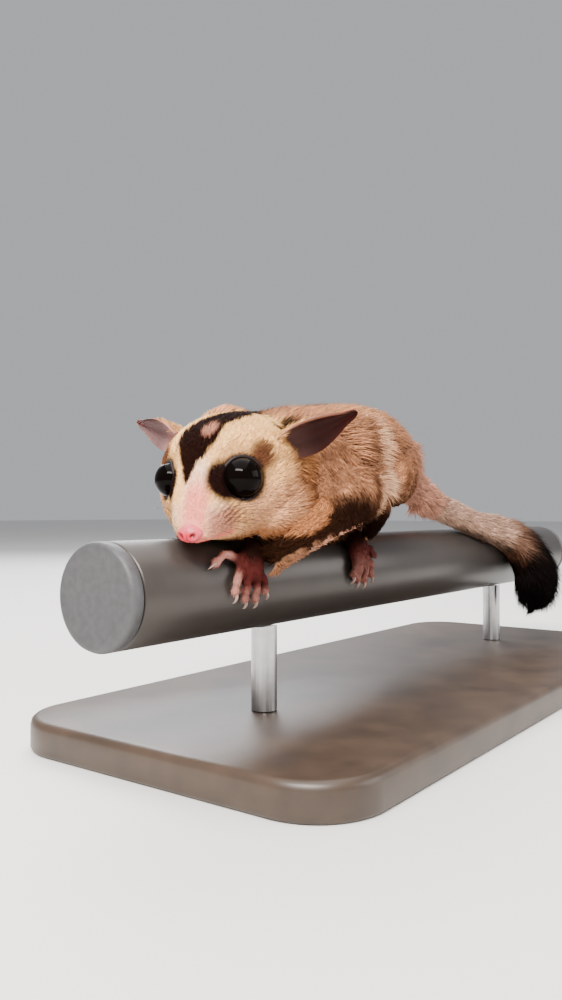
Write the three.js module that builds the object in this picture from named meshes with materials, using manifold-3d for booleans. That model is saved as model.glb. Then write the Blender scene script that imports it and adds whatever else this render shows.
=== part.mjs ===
// A life-size sugar glider crouched along a short length of metal rail, on a plain display stand.
// Millimetres, +Z up. The origin is the middle of the stand's underside, and the rail runs along X.
// The animal faces -X, its left side faces -Y, and its tail hangs over the rail's -Y side.
// Every form of the animal is worked out about the rail's axis, and the whole is then lifted to its height.
import * as THREE from "three";
import { mergeVertices } from "three/addons/utils/BufferGeometryUtils.js";
import Module from "manifold-3d";

const wasm = await Module();
wasm.setup();

// Driving sizes
const GAP = 0.3; // between pieces that meet
const RAIL_RADIUS = 11;
const RAIL_LENGTH = 246;
const RAIL_END_CAP = 3;
const BASE = { length: 226, width: 96, height: 8, corner: 16, bevel: 1 };
const ROD_RADIUS = 3.2;
const ROD_SPREAD = 72; // each rod's distance from the middle
const RAIL_CLEARANCE = 21; // from the base's top to the rail's underside
const RAIL_HEIGHT = BASE.height + RAIL_CLEARANCE + RAIL_RADIUS;

// The head stands on its own axes: forward along the snout, left, and up, from midway between the eyes.
const HEAD_AT = new THREE.Vector3(-100.4, -6.3, 24);
const HEAD_YAW = 14; // degrees towards the animal's left
const HEAD_PITCH = 14; // degrees nose down
const EYE = { radius: 4.7, side: 8.4, forward: 0, up: 0 };
const EYE_GAZE = new THREE.Vector3(0.62, 0.75, 0.2).normalize();
const NOSE = { forward: 14.2, side: 2.4, up: -8.3, radii: [2.1, 2.6, 1.9] };
const SNOUT_BEND = 0.17; // sideways shift of the snout for each millimetre in front of the eyes
const EAR = { depth: 3.4, wall: 0.9 };
const EARS = {
  left: { root: [-13.6, 13, 5.6], tip: [-22.6, 27.4, 10.8], face: [0.62, 0.45, -0.42], width: 10 },
  right: { root: [-10.6, -12.2, 8.4], tip: [-15.1, -24, 11.6], face: [0.75, -0.4, -0.2], width: 8.2 },
};
const TOE_RADIUS = 1.05;
const CLAW_LENGTH = 2.6;

const rad = THREE.MathUtils.degToRad;
const mix = THREE.MathUtils.lerp;
const vec = (x, y, z) => new THREE.Vector3(x, y, z);

// Value of a smooth curve through evenly spaced keys, at t from 0 to 1.
function through(keys, t) {
  const place = t * (keys.length - 1);
  const i = Math.min(Math.floor(place), keys.length - 2);
  const f = place - i;
  const a = keys[Math.max(i - 1, 0)];
  const b = keys[i];
  const c = keys[i + 1];
  const d = keys[Math.min(i + 2, keys.length - 1)];
  const bend = 2 * a - 5 * b + 4 * c - d;
  const twist = 3 * b - a - 3 * c + d;
  return b + 0.5 * f * (c - a + f * (bend + f * twist));
}

// A closed solid from rings of points, each ring with the same number of points, capped at both ends.
function solidFromRings(rings) {
  const sides = rings[0].length;
  const middle = (ring) => ring.reduce((sum, p) => sum.add(p), vec(0, 0, 0)).divideScalar(sides);
  const points = [middle(rings[0]), ...rings.flat(), middle(rings.at(-1))];
  const faces = [];
  const at = (ring, side) => 1 + ring * sides + (side % sides);
  const last = points.length - 1;
  for (let s = 0; s < sides; s++) {
    faces.push(0, at(0, s + 1), at(0, s));
    faces.push(last, at(rings.length - 1, s), at(rings.length - 1, s + 1));
    for (let r = 0; r < rings.length - 1; r++) {
      faces.push(at(r, s), at(r, s + 1), at(r + 1, s + 1));
      faces.push(at(r, s), at(r + 1, s + 1), at(r + 1, s));
    }
  }
  const geometry = new THREE.BufferGeometry().setFromPoints(points);
  geometry.setIndex(faces);
  return solidOf(geometry);
}

// A three.js geometry as a manifold solid with its faces pointing out.
function solidOf(geometry) {
  const bare = new THREE.BufferGeometry().setAttribute("position", geometry.getAttribute("position"));
  bare.setIndex(geometry.index);
  const merged = mergeVertices(bare, 1e-4);
  const triVerts = new Uint32Array(merged.index.array);
  const vertProperties = new Float32Array(merged.attributes.position.array);
  const make = () => new wasm.Manifold(new wasm.Mesh({ numProp: 3, vertProperties, triVerts }));
  const made = make();
  if (made.volume() > 0) return made;
  triVerts.reverse();
  return make();
}

const join = (solids) => wasm.Manifold.union(solids);
const biggest = (solid) => solid.decompose().sort((a, b) => b.volume() - a.volume())[0];

// One node: its solid, less each neighbour it meets, with only the largest closed body kept.
function node(name, solid, neighbours, material) {
  const cut = neighbours.length ? solid.subtract(join(neighbours)) : solid;
  const mesh = biggest(cut).getMesh();
  const geometry = new THREE.BufferGeometry();
  geometry.setAttribute("position", new THREE.BufferAttribute(new Float32Array(mesh.vertProperties), 3));
  geometry.setIndex(new THREE.BufferAttribute(new Uint32Array(mesh.triVerts), 1));
  geometry.computeVertexNormals();
  const made = new THREE.Mesh(geometry, material);
  made.name = name;
  return made;
}

// A ring about a centre: half width, height above and height below, rounded by a superellipse power.
function ring(centre, side, up, wide, above, below, sides, power = 2) {
  return Array.from({ length: sides }, (_, i) => {
    const angle = (2 * Math.PI * (i + 0.5)) / sides;
    const c = Math.cos(angle);
    const s = Math.sin(angle);
    const across = wide * Math.sign(c) * Math.abs(c) ** (2 / power);
    const rise = (s > 0 ? above : below) * Math.sign(s) * Math.abs(s) ** (2 / power);
    return centre.clone().addScaledVector(side, across).addScaledVector(up, rise);
  });
}

// A tube along a smooth path. Each key is x, y, z, half width and half height, and swell is added to both.
function tube(keys, { sides = 12, steps = 16, swell = 0, flatAxis = vec(0, 0, 1), power = 2 } = {}) {
  const path = new THREE.CatmullRomCurve3(keys.map((k) => vec(k[0], k[1], k[2])));
  const rings = [];
  for (let i = 0; i <= steps; i++) {
    const t = i / steps;
    const forward = path.getTangent(t);
    const side = flatAxis.clone().cross(forward).normalize();
    const up = forward.clone().cross(side).normalize();
    const wide = through(keys.map((k) => k[3]), t) + swell;
    const high = through(keys.map((k) => k[4] ?? k[3]), t) + swell;
    rings.push(ring(path.getPoint(t), side, up, wide, high, high, sides, power));
  }
  return solidFromRings(rings);
}

// An ellipsoid lobe at x, y, z with three half sizes.
function lobe(centre, radii, swell = 0, detail = [20, 14]) {
  const ball = new THREE.SphereGeometry(1, ...detail);
  ball.scale(radii[0] + swell, radii[1] + swell, radii[2] + swell);
  ball.translate(...centre);
  return solidOf(ball);
}

// A place on the rail: x along it, degrees round from its top towards -Y, and height off its surface.
function onRail(x, degrees, height) {
  const r = RAIL_RADIUS + height;
  return vec(x, -r * Math.sin(rad(degrees)), r * Math.cos(rad(degrees)));
}

// Rail, end caps and stand

function rail(swell = 0, length = RAIL_LENGTH) {
  const bar = new THREE.CylinderGeometry(RAIL_RADIUS + swell, RAIL_RADIUS + swell, length, 40);
  return solidOf(bar.rotateZ(Math.PI / 2));
}

function railCap(end) {
  const edge = RAIL_RADIUS;
  const profile = [
    new THREE.Vector2(0, 0),
    new THREE.Vector2(edge, 0),
    new THREE.Vector2(edge, RAIL_END_CAP - 1),
    new THREE.Vector2(edge - 1, RAIL_END_CAP),
    new THREE.Vector2(0, RAIL_END_CAP),
  ];
  const cap = new THREE.LatheGeometry(profile, 32);
  cap.rotateZ(-end * (Math.PI / 2));
  cap.translate(end * (RAIL_LENGTH / 2 + GAP), 0, 0);
  return solidOf(cap);
}

function standBase() {
  const { length, width, height, corner, bevel } = BASE;
  const x = length / 2 - bevel;
  const y = width / 2 - bevel;
  const outline = new THREE.Shape();
  outline.moveTo(-x + corner, -y);
  outline.lineTo(x - corner, -y);
  outline.absarc(x - corner, -y + corner, corner, -Math.PI / 2, 0);
  outline.absarc(x - corner, y - corner, corner, 0, Math.PI / 2);
  outline.absarc(-x + corner, y - corner, corner, Math.PI / 2, Math.PI);
  outline.absarc(-x + corner, -y + corner, corner, Math.PI, 1.5 * Math.PI);
  const options = { depth: height - 2 * bevel, bevelThickness: bevel, bevelSize: bevel, bevelSegments: 1 };
  const slab = new THREE.ExtrudeGeometry(outline, { ...options, curveSegments: 6 });
  slab.translate(0, 0, bevel - RAIL_HEIGHT);
  return solidOf(slab);
}

function standRod(x) {
  const foot = BASE.height - RAIL_HEIGHT + GAP;
  const rod = new THREE.CylinderGeometry(ROD_RADIUS, ROD_RADIUS, -foot, 24);
  rod.rotateX(Math.PI / 2);
  rod.translate(x, 0, foot / 2);
  return solidOf(rod).subtract(rail(GAP));
}

// Trunk: rings across X, each key x, middle y, top, underside and half width. The rump is lifted off the rail.
const TRUNK_KEYS = [
  [-90, -5.5, 35, 16, 9],
  [-81, -3.5, 40.5, 12.6, 15.5],
  [-71, -0.5, 43.6, 11.4, 21.5],
  [-59, 0.5, 45.2, 11.3, 25],
  [-46, 0, 47, 11.4, 24],
  [-32, 0, 47.5, 14.4, 21],
  [-18, 0, 43.6, 19.4, 14.6],
  [-6, 0, 39, 20.8, 9.6],
  [4, 0, 34, 19.2, 6.8],
  [12, 0, 29.2, 16.6, 6.1],
  [18, 0, 26, 14.6, 5.6],
];
const TRUNK_SIDES = 26;
const TRUNK_STEPS = 24;
// Shoulder blades: the far one stands higher, because the near arm reaches down. Then the two haunches.
const SHOULDERS = [
  { at: [-71, 12.5, 35.5], radii: [12, 9.5, 10.8] },
  { at: [-70, -13, 30], radii: [12, 10, 11.5] },
];
const HAUNCHES = [
  { at: [-25, 8, 31], radii: [12, 11, 11.5] },
  { at: [-25, -8, 31], radii: [12, 11, 11.5] },
];

function trunkRings(swell) {
  const rings = [];
  for (let i = 0; i <= TRUNK_STEPS; i++) {
    const t = i / TRUNK_STEPS;
    const [x, y, top, low, wide] = [0, 1, 2, 3, 4].map((c) => through(TRUNK_KEYS.map((k) => k[c]), t));
    const middle = mix(low, top, 0.46);
    const centre = vec(x, y, middle);
    const above = top - middle + swell;
    const below = middle - low + swell;
    rings.push(ring(centre, vec(0, 1, 0), vec(0, 0, 1), wide + swell, above, below, TRUNK_SIDES, 2.25));
  }
  return rings;
}

function trunk(swell = 0) {
  const lobes = [...SHOULDERS, ...HAUNCHES].map((l) => lobe(l.at, l.radii, swell, [20, 12]));
  return join([solidFromRings(trunkRings(swell)), ...lobes]);
}

// Tail: along the rail's top, over its near side and down, thicker towards the dark brush.
const TAIL_KEYS = [
  [10, 0, 23.5, 6, 6.6],
  [18, -1, 20, 6, 6],
  [28, -4, 16.6, 6.1, 5.8],
  [38, -7.8, 13, 6.3, 5.6],
  [48, -11.2, 10.8, 6.6, 5.5],
  [57.5, -14, 7.2, 7.2, 5.8],
  [64, -16.8, 1.2, 8, 6.4],
  [66.4, -18.6, -5.4, 8.6, 7],
  [66.8, -18.8, -11.4, 7, 6],
  [66.4, -18, -16.6, 2, 2],
];
const TAIL_SIDES = 12;
const TAIL_STEPS = 24;

// The tail's flat direction turns from up, on the rail's top, to outwards on its near side.
function tailFrame(t) {
  const path = new THREE.CatmullRomCurve3(TAIL_KEYS.map((k) => vec(k[0], k[1], k[2])));
  const centre = path.getPoint(t);
  const forward = path.getTangent(t);
  const outward = vec(0, centre.y, Math.max(centre.z, 0.4 * Math.abs(centre.y))).normalize();
  const side = outward.cross(forward).normalize();
  const up = forward.clone().cross(side).normalize();
  return { centre, forward, side, up };
}

function tail(swell = 0) {
  const rings = [];
  for (let i = 0; i <= TAIL_STEPS; i++) {
    const t = i / TAIL_STEPS;
    const { centre, side, up } = tailFrame(t);
    const wide = through(TAIL_KEYS.map((k) => k[3]), t) + swell;
    const high = through(TAIL_KEYS.map((k) => k[4]), t) + swell;
    rings.push(ring(centre, side, up, wide, high, high, TAIL_SIDES));
  }
  return solidFromRings(rings);
}

// Locks of the tail's longer coat: flat, tapered and bent away from the tail, with their roots sunk in it.
const LOCKS = { count: 34, from: 0.42, to: 0.95, length: 10.5, width: 2.3, thick: 0.7, lift: 2 };
const GOLDEN_ANGLE = 137.508;

function tailLock(i) {
  const t = mix(LOCKS.from, LOCKS.to, (i + 0.5) / LOCKS.count);
  const { centre, forward, side, up } = tailFrame(t);
  const turn = rad(i * GOLDEN_ANGLE);
  const wide = through(TAIL_KEYS.map((k) => k[3]), t);
  const high = through(TAIL_KEYS.map((k) => k[4]), t);
  const out = side.clone().multiplyScalar(Math.cos(turn)).addScaledVector(up, Math.sin(turn));
  const skin = side.clone().multiplyScalar(wide * Math.cos(turn)).addScaledVector(up, high * Math.sin(turn));
  const root = centre.clone().addScaledVector(skin, 0.74);
  const reach = LOCKS.length * (0.82 + 0.18 * Math.sin(3.7 * i)) * (t > 0.85 ? 0.72 : 1);
  const keys = [0, 0.35, 0.7, 1].map((s) => {
    const p = root.clone().addScaledVector(forward, reach * s).addScaledVector(out, LOCKS.lift * Math.sin(1.9 * s));
    const taper = [0.8, 1, 0.68, 0.08][Math.round(s * 2.9)];
    return [...p.toArray(), LOCKS.width * taper, LOCKS.thick * taper];
  });
  return tube(keys, { sides: 4, steps: 3, flatAxis: out });
}

function tailCoat() {
  const locks = Array.from({ length: LOCKS.count }, (_, i) => tailLock(i));
  return join([tail(), ...locks]);
}

// Head: rings across the snout's axis, each key forward, half width, top, underside and middle height.
const HEAD_KEYS = [
  [-25, 8, 9.5, -9, 0],
  [-20, 12.5, 12, -13, 0],
  [-15, 15.2, 13, -15, -1],
  [-10, 16.4, 13, -15.8, -2.5],
  [-5.5, 15.8, 12, -15.4, -4],
  [-1.5, 13.4, 10.2, -14.4, -5],
  [2.5, 10.6, 7.2, -13.3, -6],
  [6, 8, 3.6, -12.2, -7],
  [9.5, 5.9, -0.4, -11.4, -7.4],
  [12.6, 4.1, -4.2, -10.6, -8],
  [14.6, 2.2, -6.2, -9.6, -8.3],
];
const bendOf = (forward) => SNOUT_BEND * Math.max(0, forward);
const HEAD_SIDES = 24;
const HEAD_STEPS = 18;

// The head's axes in the animal's frame, as a matrix that carries forward, left and up to their places.
function headMatrix() {
  const yaw = rad(HEAD_YAW);
  const pitch = rad(HEAD_PITCH);
  const level = vec(-Math.cos(yaw), -Math.sin(yaw), 0);
  const forward = level.clone().multiplyScalar(Math.cos(pitch)).add(vec(0, 0, -Math.sin(pitch)));
  const up = level.clone().multiplyScalar(Math.sin(pitch)).add(vec(0, 0, Math.cos(pitch)));
  const left = up.clone().cross(forward);
  return new THREE.Matrix4().makeBasis(forward, left, up).setPosition(HEAD_AT);
}
const HEAD_PLACE = headMatrix();
const placed = (solid) => solid.transform(HEAD_PLACE.elements);

// A tube in the head's own axes.
const headTube = (keys, options) => placed(tube(keys, options));

const eyeAt = (side) => vec(EYE.forward, side * EYE.side, EYE.up);
const gazeOf = (side) => vec(EYE_GAZE.x, side * EYE_GAZE.y, EYE_GAZE.z);

function eyeball(side, swell = 0) {
  return placed(lobe(eyeAt(side).toArray(), [EYE.radius, EYE.radius, EYE.radius], swell, [18, 12]));
}

// A bowl cut round the eye, so that the ball stands out of the cheek as far as a real one does.
function eyeBowl(side) {
  const at = eyeAt(side).addScaledVector(gazeOf(side), 8.2);
  return placed(lobe(at.toArray(), [8.6, 8.6, 8.6], 0, [16, 10]));
}

// Lids: a soft ring round the ball, heavier above, drawn to a corner at the front.
function lids(side) {
  const gaze = gazeOf(side);
  const across = vec(0, 0, 1).cross(gaze).normalize();
  const rise = gaze.clone().cross(across).normalize();
  const centre = eyeAt(side).addScaledVector(gaze, 1.7);
  const turns = 16;
  const rings = [];
  for (let i = 0; i < turns; i++) {
    const angle = (2 * Math.PI * i) / turns;
    const out = across.clone().multiplyScalar(Math.cos(angle)).addScaledVector(rise, Math.sin(angle));
    const corner = 0.7 * Math.max(0, -side * Math.cos(angle)) ** 6;
    const middle = centre.clone().addScaledVector(out, EYE.radius * 0.98 + corner);
    const thick = 0.75 + 0.2 * Math.max(0, Math.sin(angle));
    rings.push(ring(middle, out, gaze, thick, thick, thick, 5));
  }
  return placed(closedLoop(rings));
}

// A closed ring of rings, such as a torus.
function closedLoop(rings) {
  const sides = rings[0].length;
  const faces = [];
  const at = (r, s) => (r % rings.length) * sides + (s % sides);
  for (let r = 0; r < rings.length; r++) {
    for (let s = 0; s < sides; s++) {
      faces.push(at(r, s), at(r, s + 1), at(r + 1, s + 1));
      faces.push(at(r, s), at(r + 1, s + 1), at(r + 1, s));
    }
  }
  const geometry = new THREE.BufferGeometry().setFromPoints(rings.flat());
  geometry.setIndex(faces);
  return solidOf(geometry);
}

// The mouth runs from under the nose back below each cheek.
const MOUTH_KEYS = [
  [4.5, 7.2, -9.2],
  [7.5, 6.3, -10.1],
  [10.4, 4.9, -10.5],
  [12.9, 2.9, -10.5],
  [14.1, 0, -10.1],
];
const mirrored = (keys) => keys.slice(0, -1).reverse().map(([f, l, u]) => [f, -l, u]);

function mouthLine(radius, drop = 0) {
  const whole = [...MOUTH_KEYS, ...mirrored(MOUTH_KEYS)];
  const keys = whole.map(([f, l, u]) => [f, l + bendOf(f), u + drop, radius]);
  return headTube(keys, { sides: 4, steps: 12 });
}

function noseShape(swell = 0) {
  const { forward, side, up, radii } = NOSE;
  return placed(lobe([forward, side, up], radii, swell, [12, 8]));
}

// Two slit nostrils and the groove between them.
function nostrils() {
  const front = NOSE.forward + NOSE.radii[0];
  const slit = (s) => lobe([front - 0.2, NOSE.side + s * 1.35, NOSE.up - 0.1], [0.8, 0.62, 0.42], 0, [6, 4]);
  const groove = tube([
    [front + 0.3, NOSE.side, NOSE.up + 0.6, 0.22],
    [front + 0.15, NOSE.side, NOSE.up - 0.8, 0.22],
    [front - 0.6, NOSE.side, NOSE.up - 2.2, 0.22],
  ], { sides: 4, steps: 3, flatAxis: vec(0, 1, 0) });
  return placed(join([slit(1), slit(-1), groove]));
}

function headShape(swell = 0) {
  const rings = [];
  for (let i = 0; i <= HEAD_STEPS; i++) {
    const t = i / HEAD_STEPS;
    const [f, wide, top, low, mid] = [0, 1, 2, 3, 4].map((c) => through(HEAD_KEYS.map((k) => k[c]), t));
    const sizes = [wide + swell, top - mid + swell, mid - low + swell];
    rings.push(ring(vec(f, bendOf(f), mid), vec(0, 1, 0), vec(0, 0, 1), ...sizes, HEAD_SIDES, 2.15));
  }
  return placed(solidFromRings(rings));
}

// Ears: a leaf-shaped cup. Outer and inner grids meet round the rim, and the root is sunk in the head.
function ear(side, swell = 0) {
  const { root: from, tip: to, face: front, width } = EARS[side > 0 ? "left" : "right"];
  const root = vec(...from);
  const reach = root.distanceTo(vec(...to));
  const along = vec(...to).sub(root).normalize();
  const face = vec(...front);
  face.addScaledVector(along, -face.dot(along)).normalize();
  const across = along.clone().cross(face);
  const steps = 10;
  const half = 6;
  const rings = [];
  for (let i = 0; i <= steps; i++) {
    const t = i / steps;
    const wide = (width / 2) * (0.62 + 0.38 * Math.sin(Math.PI * Math.min(1, t * 1.25))) * leaf(t);
    const cup = EAR.depth * (1 - 0.55 * t) * leaf(t);
    const middle = root.clone().addScaledVector(along, mix(-2.5, reach, t));
    const wall = EAR.wall / 2 + swell;
    const points = [];
    for (let j = 0; j < 2 * half; j++) {
      const front = j < half;
      const v = front ? mix(-1, 1, j / (half - 1)) : mix(1, -1, (j - half) / (half - 1));
      const bend = middle.clone().addScaledVector(across, v * (wide + swell));
      const sunk = cup * (v * v - 0.35) + (front ? wall : -wall);
      points.push(bend.addScaledVector(face, sunk + 1.1 * t * t));
    }
    rings.push(points);
  }
  return placed(solidFromRings(rings));
}

// Width along the ear, from 1 at the root to a rounded tip.
function leaf(t) {
  return Math.sqrt(Math.max(0.015, 1 - t ** 3.2));
}

// Limbs. Each is a tube from the trunk to the wrist or ankle, and swell thickens it where a neighbour is cut.
const LIMBS = {
  upper_arm_left: [[-71, -10, 31, 8, 7.6], [-70.5, -18, 24, 7.6, 6.8], [-71.6, -22, 17.6, 5.8, 5.4], [-72, -22.8, 13.6, 1.5, 1.5]],
  forearm_left: [[-70, -21.6, 15.6, 1.5, 1.5], [-73, -21.8, 14.6, 4.9, 4.6], [-81, -19.6, 11.6, 4.4, 4.2], [-90, -14.6, 7.6, 2.7, 2.6]],
  upper_arm_right: [[-69, 11, 33, 7.6, 7.2], [-67.5, 18.6, 25.6, 7.2, 6.6], [-68.6, 22, 18.4, 5.6, 5.2], [-69.6, 22.6, 14.4, 1.5, 1.5]],
  forearm_right: [[-67, 21.6, 16.4, 1.5, 1.5], [-70, 21.6, 15.6, 4.9, 4.6], [-77, 19, 13.4, 4.3, 4], [-86, 12.4, 11.8, 2.7, 2.6]],
  thigh_left: [
    [-24, -8, 30, 8, 8.6],
    [-33, -13.6, 28.5, 8.4, 9.4],
    [-41, -18.6, 26, 7.6, 8.6],
    [-48.6, -21, 23.4, 5, 5.6],
    [-50.8, -21.4, 20.4, 1.5, 1.5],
  ],
  shank_left: [[-50, -20.8, 22, 3, 3], [-49.8, -19.4, 18.4, 4.3, 4.3], [-48, -17, 14.2, 3.5, 3.5], [-45.6, -14.2, 11.2, 2.5, 2.5]],
  thigh_right: [
    [-22, 8, 30, 8, 8.6],
    [-31, 13.6, 28.5, 8.4, 9.4],
    [-39, 18.6, 26, 7.6, 8.6],
    [-47.6, 21, 23.4, 5, 5.6],
    [-49.8, 21.4, 20.4, 1.5, 1.5],
  ],
  shank_right: [[-49, 20.8, 22, 3, 3], [-48.8, 19.4, 18.4, 4.3, 4.3], [-47, 17, 14.2, 3.5, 3.5], [-43.8, 14.2, 11.2, 2.5, 2.5]],
};
const limb = (name, swell = 0) => tube(LIMBS[name], { sides: 12, steps: 8, swell });

// Hands and feet lie on the rail. side is 1 on the near face and -1 on the far one.
// Each toe key is x, then degrees round the rail, from its knuckle to its tip.
const HANDS = {
  hand_left: {
    side: 1,
    palm: [[-90, 52, 2.4, 2.7], [-92.5, 64, 2.4, 3.6], [-94, 80, 2, 3.4]],
    toes: [
      [[-94.5, 60], [-99.4, 54], [-103, 61]],
      [[-95.8, 70], [-98.2, 79], [-98.2, 92]],
      [[-94.4, 74], [-95.4, 88], [-94.8, 100]],
      [[-92.6, 74], [-91.9, 89], [-91.2, 101]],
      [[-91, 70], [-89.2, 82], [-87.8, 94]],
    ],
  },
  hand_right: {
    side: -1,
    palm: [[-86, 42, 2.4, 2.7], [-88.5, 52, 2.3, 3.5], [-90.5, 66, 2, 3.4]],
    toes: [
      [[-91, 47], [-96, 42], [-100, 46]],
      [[-92.4, 60], [-97, 70], [-98.4, 88]],
      [[-91.6, 67], [-93.6, 84], [-93.8, 102]],
      [[-89.6, 68], [-89.4, 88], [-89, 106]],
      [[-87.8, 64], [-85.4, 80], [-83.6, 96]],
    ],
  },
  foot_left: {
    side: 1,
    palm: [[-45, 44, 2.8, 2.8], [-45.8, 54, 2.6, 3.6], [-46.2, 66, 2.1, 3.5]],
    toes: [
      [[-43, 56], [-39.8, 58], [-38, 66]],
      [[-48.3, 65], [-49.9, 77], [-50.2, 88]],
      [[-47, 67], [-47.9, 81], [-48.1, 94]],
      [[-45.2, 67], [-45, 82], [-44.8, 96]],
      [[-43.6, 64], [-42.2, 77], [-41.2, 90]],
    ],
  },
  foot_right: {
    side: -1,
    palm: [[-41, 48, 3, 3], [-42, 60, 2.6, 3.9], [-42.6, 76, 2.1, 3.8]],
    toes: [
      [[-39.2, 64], [-35.2, 68], [-32.8, 78]],
      [[-45, 76], [-46.8, 92], [-47.2, 108]],
      [[-43.6, 78], [-44.5, 95], [-44.7, 113]],
      [[-41.8, 78], [-41.6, 96], [-41.4, 116]],
      [[-40.2, 75], [-38.6, 92], [-37.4, 109]],
    ],
  },
};

// One toe: a jointed tube over the rail with a round pad, and a hooked claw from its tip.
function toe(keys, side, clawed) {
  const at = (k, height) => onRail(k[0], side * k[1], height);
  const [a, b, c] = [at(keys[0], 1.7), at(keys[1], 2.4), at(keys[2], 1.5)];
  const end = c.clone().addScaledVector(c.clone().sub(b).normalize(), 1.2);
  const path = [
    [...a.toArray(), TOE_RADIUS * 1.15],
    [...b.toArray(), TOE_RADIUS],
    [...c.toArray(), TOE_RADIUS * 1.25],
    [...end.toArray(), 0.2],
  ];
  const flatAxis = vec(1, 0, 0.01);
  const pieces = [tube(path, { sides: 5, steps: 5, flatAxis })];
  if (clawed) {
    const heading = c.clone().sub(b).normalize();
    const out = vec(0, c.y, c.z).normalize();
    const start = c.clone().addScaledVector(out, 0.5);
    const bend = start.clone().addScaledVector(heading, CLAW_LENGTH * 0.6).addScaledVector(out, 0.35);
    const point = start.clone().addScaledVector(heading, CLAW_LENGTH).addScaledVector(out, -0.5);
    const claw = [[...start.toArray(), 0.75], [...bend.toArray(), 0.55], [...point.toArray(), 0.12]];
    pieces.push(tube(claw, { sides: 4, steps: 2, flatAxis }));
  }
  return join(pieces);
}

function handShape(name) {
  const { side, palm, toes } = HANDS[name];
  const keys = palm.map(([x, turn, high, wide]) => [...onRail(x, side * turn, high).toArray(), wide, high]);
  const middle = keys[1];
  const flatAxis = vec(0, middle[1], middle[2]).normalize();
  const pad = tube(keys, { sides: 8, steps: 4, flatAxis });
  const heel = lobe(keys[0].slice(0, 3), [2.9, 2.9, 2.9], 0, [8, 5]);
  // The inner hind toe is the thumb-like one and has no claw.
  const clawed = (i) => !(name.startsWith("foot") && i === 0);
  const reach = toes.map((keys, i) => toe(keys, side, clawed(i)));
  return join([pad, heel, ...reach]);
}

// Gliding membrane: a slack fold from the wrist to the ankle. Inner and outer edges run along the same steps.
const MEMBRANES = {
  membrane_left: {
    inner: [[-84, -17, 13], [-78, -20, 20], [-68, -21, 26], [-60, -21.5, 28], [-54, -20.5, 27], [-50, -18.5, 25]],
    outer: [[-89.6, -14.8, 2.8], [-85.5, -20, 7], [-78, -25, 11.4], [-68, -27, 14.8], [-59, -25.2, 18.2], [-52, -21, 20]],
  },
  membrane_right: {
    inner: [[-80, 16, 15], [-75, 19, 21], [-66, 21, 26], [-58, 21.5, 28], [-52, 20.5, 27], [-48, 18.5, 25]],
    outer: [[-84, 15, 9], [-81, 20.5, 11], [-74, 25, 13], [-65, 27, 15], [-57, 25.2, 18.4], [-50, 21, 20]],
  },
};
const MEMBRANE_EDGE = 1; // half thickness at the free edge
const MEMBRANE_ROOT = 2.6; // half thickness where it leaves the flank

function membrane(name) {
  const { inner, outer } = MEMBRANES[name];
  const side = inner[0][1] < 0 ? -1 : 1;
  const curve = (keys) => new THREE.CatmullRomCurve3(keys.map((k) => vec(...k)));
  const [rootLine, edgeLine] = [curve(inner), curve(outer)];
  const steps = 14;
  const rings = [];
  for (let i = 0; i <= steps; i++) {
    const t = i / steps;
    const root = rootLine.getPoint(t);
    const edge = edgeLine.getPoint(t);
    const down = edge.clone().sub(root);
    const out = rootLine.getTangent(t).cross(down).normalize();
    if (out.y * side < 0) out.negate();
    const around = 10;
    const points = [];
    for (let j = 0; j < around; j++) {
      const angle = (2 * Math.PI * (j + 0.5)) / around;
      const s = 0.5 - 0.5 * Math.cos(angle);
      const thick = mix(MEMBRANE_ROOT, MEMBRANE_EDGE, s) * Math.sin(angle);
      const belly = 2.4 * Math.sin(Math.PI * s);
      points.push(root.clone().addScaledVector(down, s).addScaledVector(out, thick + belly));
    }
    rings.push(points);
  }
  return solidFromRings(rings);
}

// Half spaces that part the whole body with thin cuts, each from a point and the way it faces.
function beyond(point, direction) {
  const big = 400;
  const slab = new THREE.BoxGeometry(big, big, big);
  slab.translate(big / 2, 0, 0);
  const turn = new THREE.Quaternion().setFromUnitVectors(vec(1, 0, 0), direction.clone().normalize());
  slab.applyQuaternion(turn);
  slab.translate(point.x, point.y, point.z);
  return solidOf(slab);
}

// The part of a solid between two cuts, each a point and a direction, half a gap inside each.
function between(solid, from, to) {
  const way = (cut) => cut.direction.clone().normalize();
  const near = from && beyond(from.point.clone().addScaledVector(way(from), GAP / 2), from.direction);
  const far = to && beyond(to.point.clone().addScaledVector(way(to), -GAP / 2), to.direction);
  const kept = near ? solid.intersect(near) : solid;
  return far ? kept.subtract(far) : kept;
}

const tailCut = (t) => {
  const { centre, forward } = tailFrame(t);
  return { point: centre, direction: forward };
};
const CUTS = {
  neck: { point: vec(-82.5, -3, 26), direction: vec(1, 0.12, -0.25) },
  chest: { point: vec(-76, -1, 26), direction: vec(1, 0.05, -0.2) },
  loin: { point: vec(-31, 0, 26), direction: vec(1, 0, 0) },
  root: tailCut(0.14),
  middle: tailCut(0.4),
  brush: tailCut(0.58),
};

// Colours and finishes
const finish = (color, roughness, metalness = 0) => new THREE.MeshStandardMaterial({ color, roughness, metalness });
const FINISHES = {
  face: finish(0xd9b591, 0.9),
  coat: finish(0xa98569, 0.95),
  membrane: finish(0x5d4434, 0.95),
  skin: finish(0xc98f86, 0.7),
  nose: finish(0xd88a90, 0.5),
  ear: finish(0x5a3a38, 0.75),
  brush: finish(0x1f1915, 0.95),
  eye: finish(0x08070a, 0.08),
  rail: finish(0x8a8682, 0.45, 0.4),
  cap: finish(0x4a4a4c, 0.6),
  stand: finish(0x34312f, 0.5),
  rod: finish(0x9a9a9c, 0.35, 0.9),
};

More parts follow.
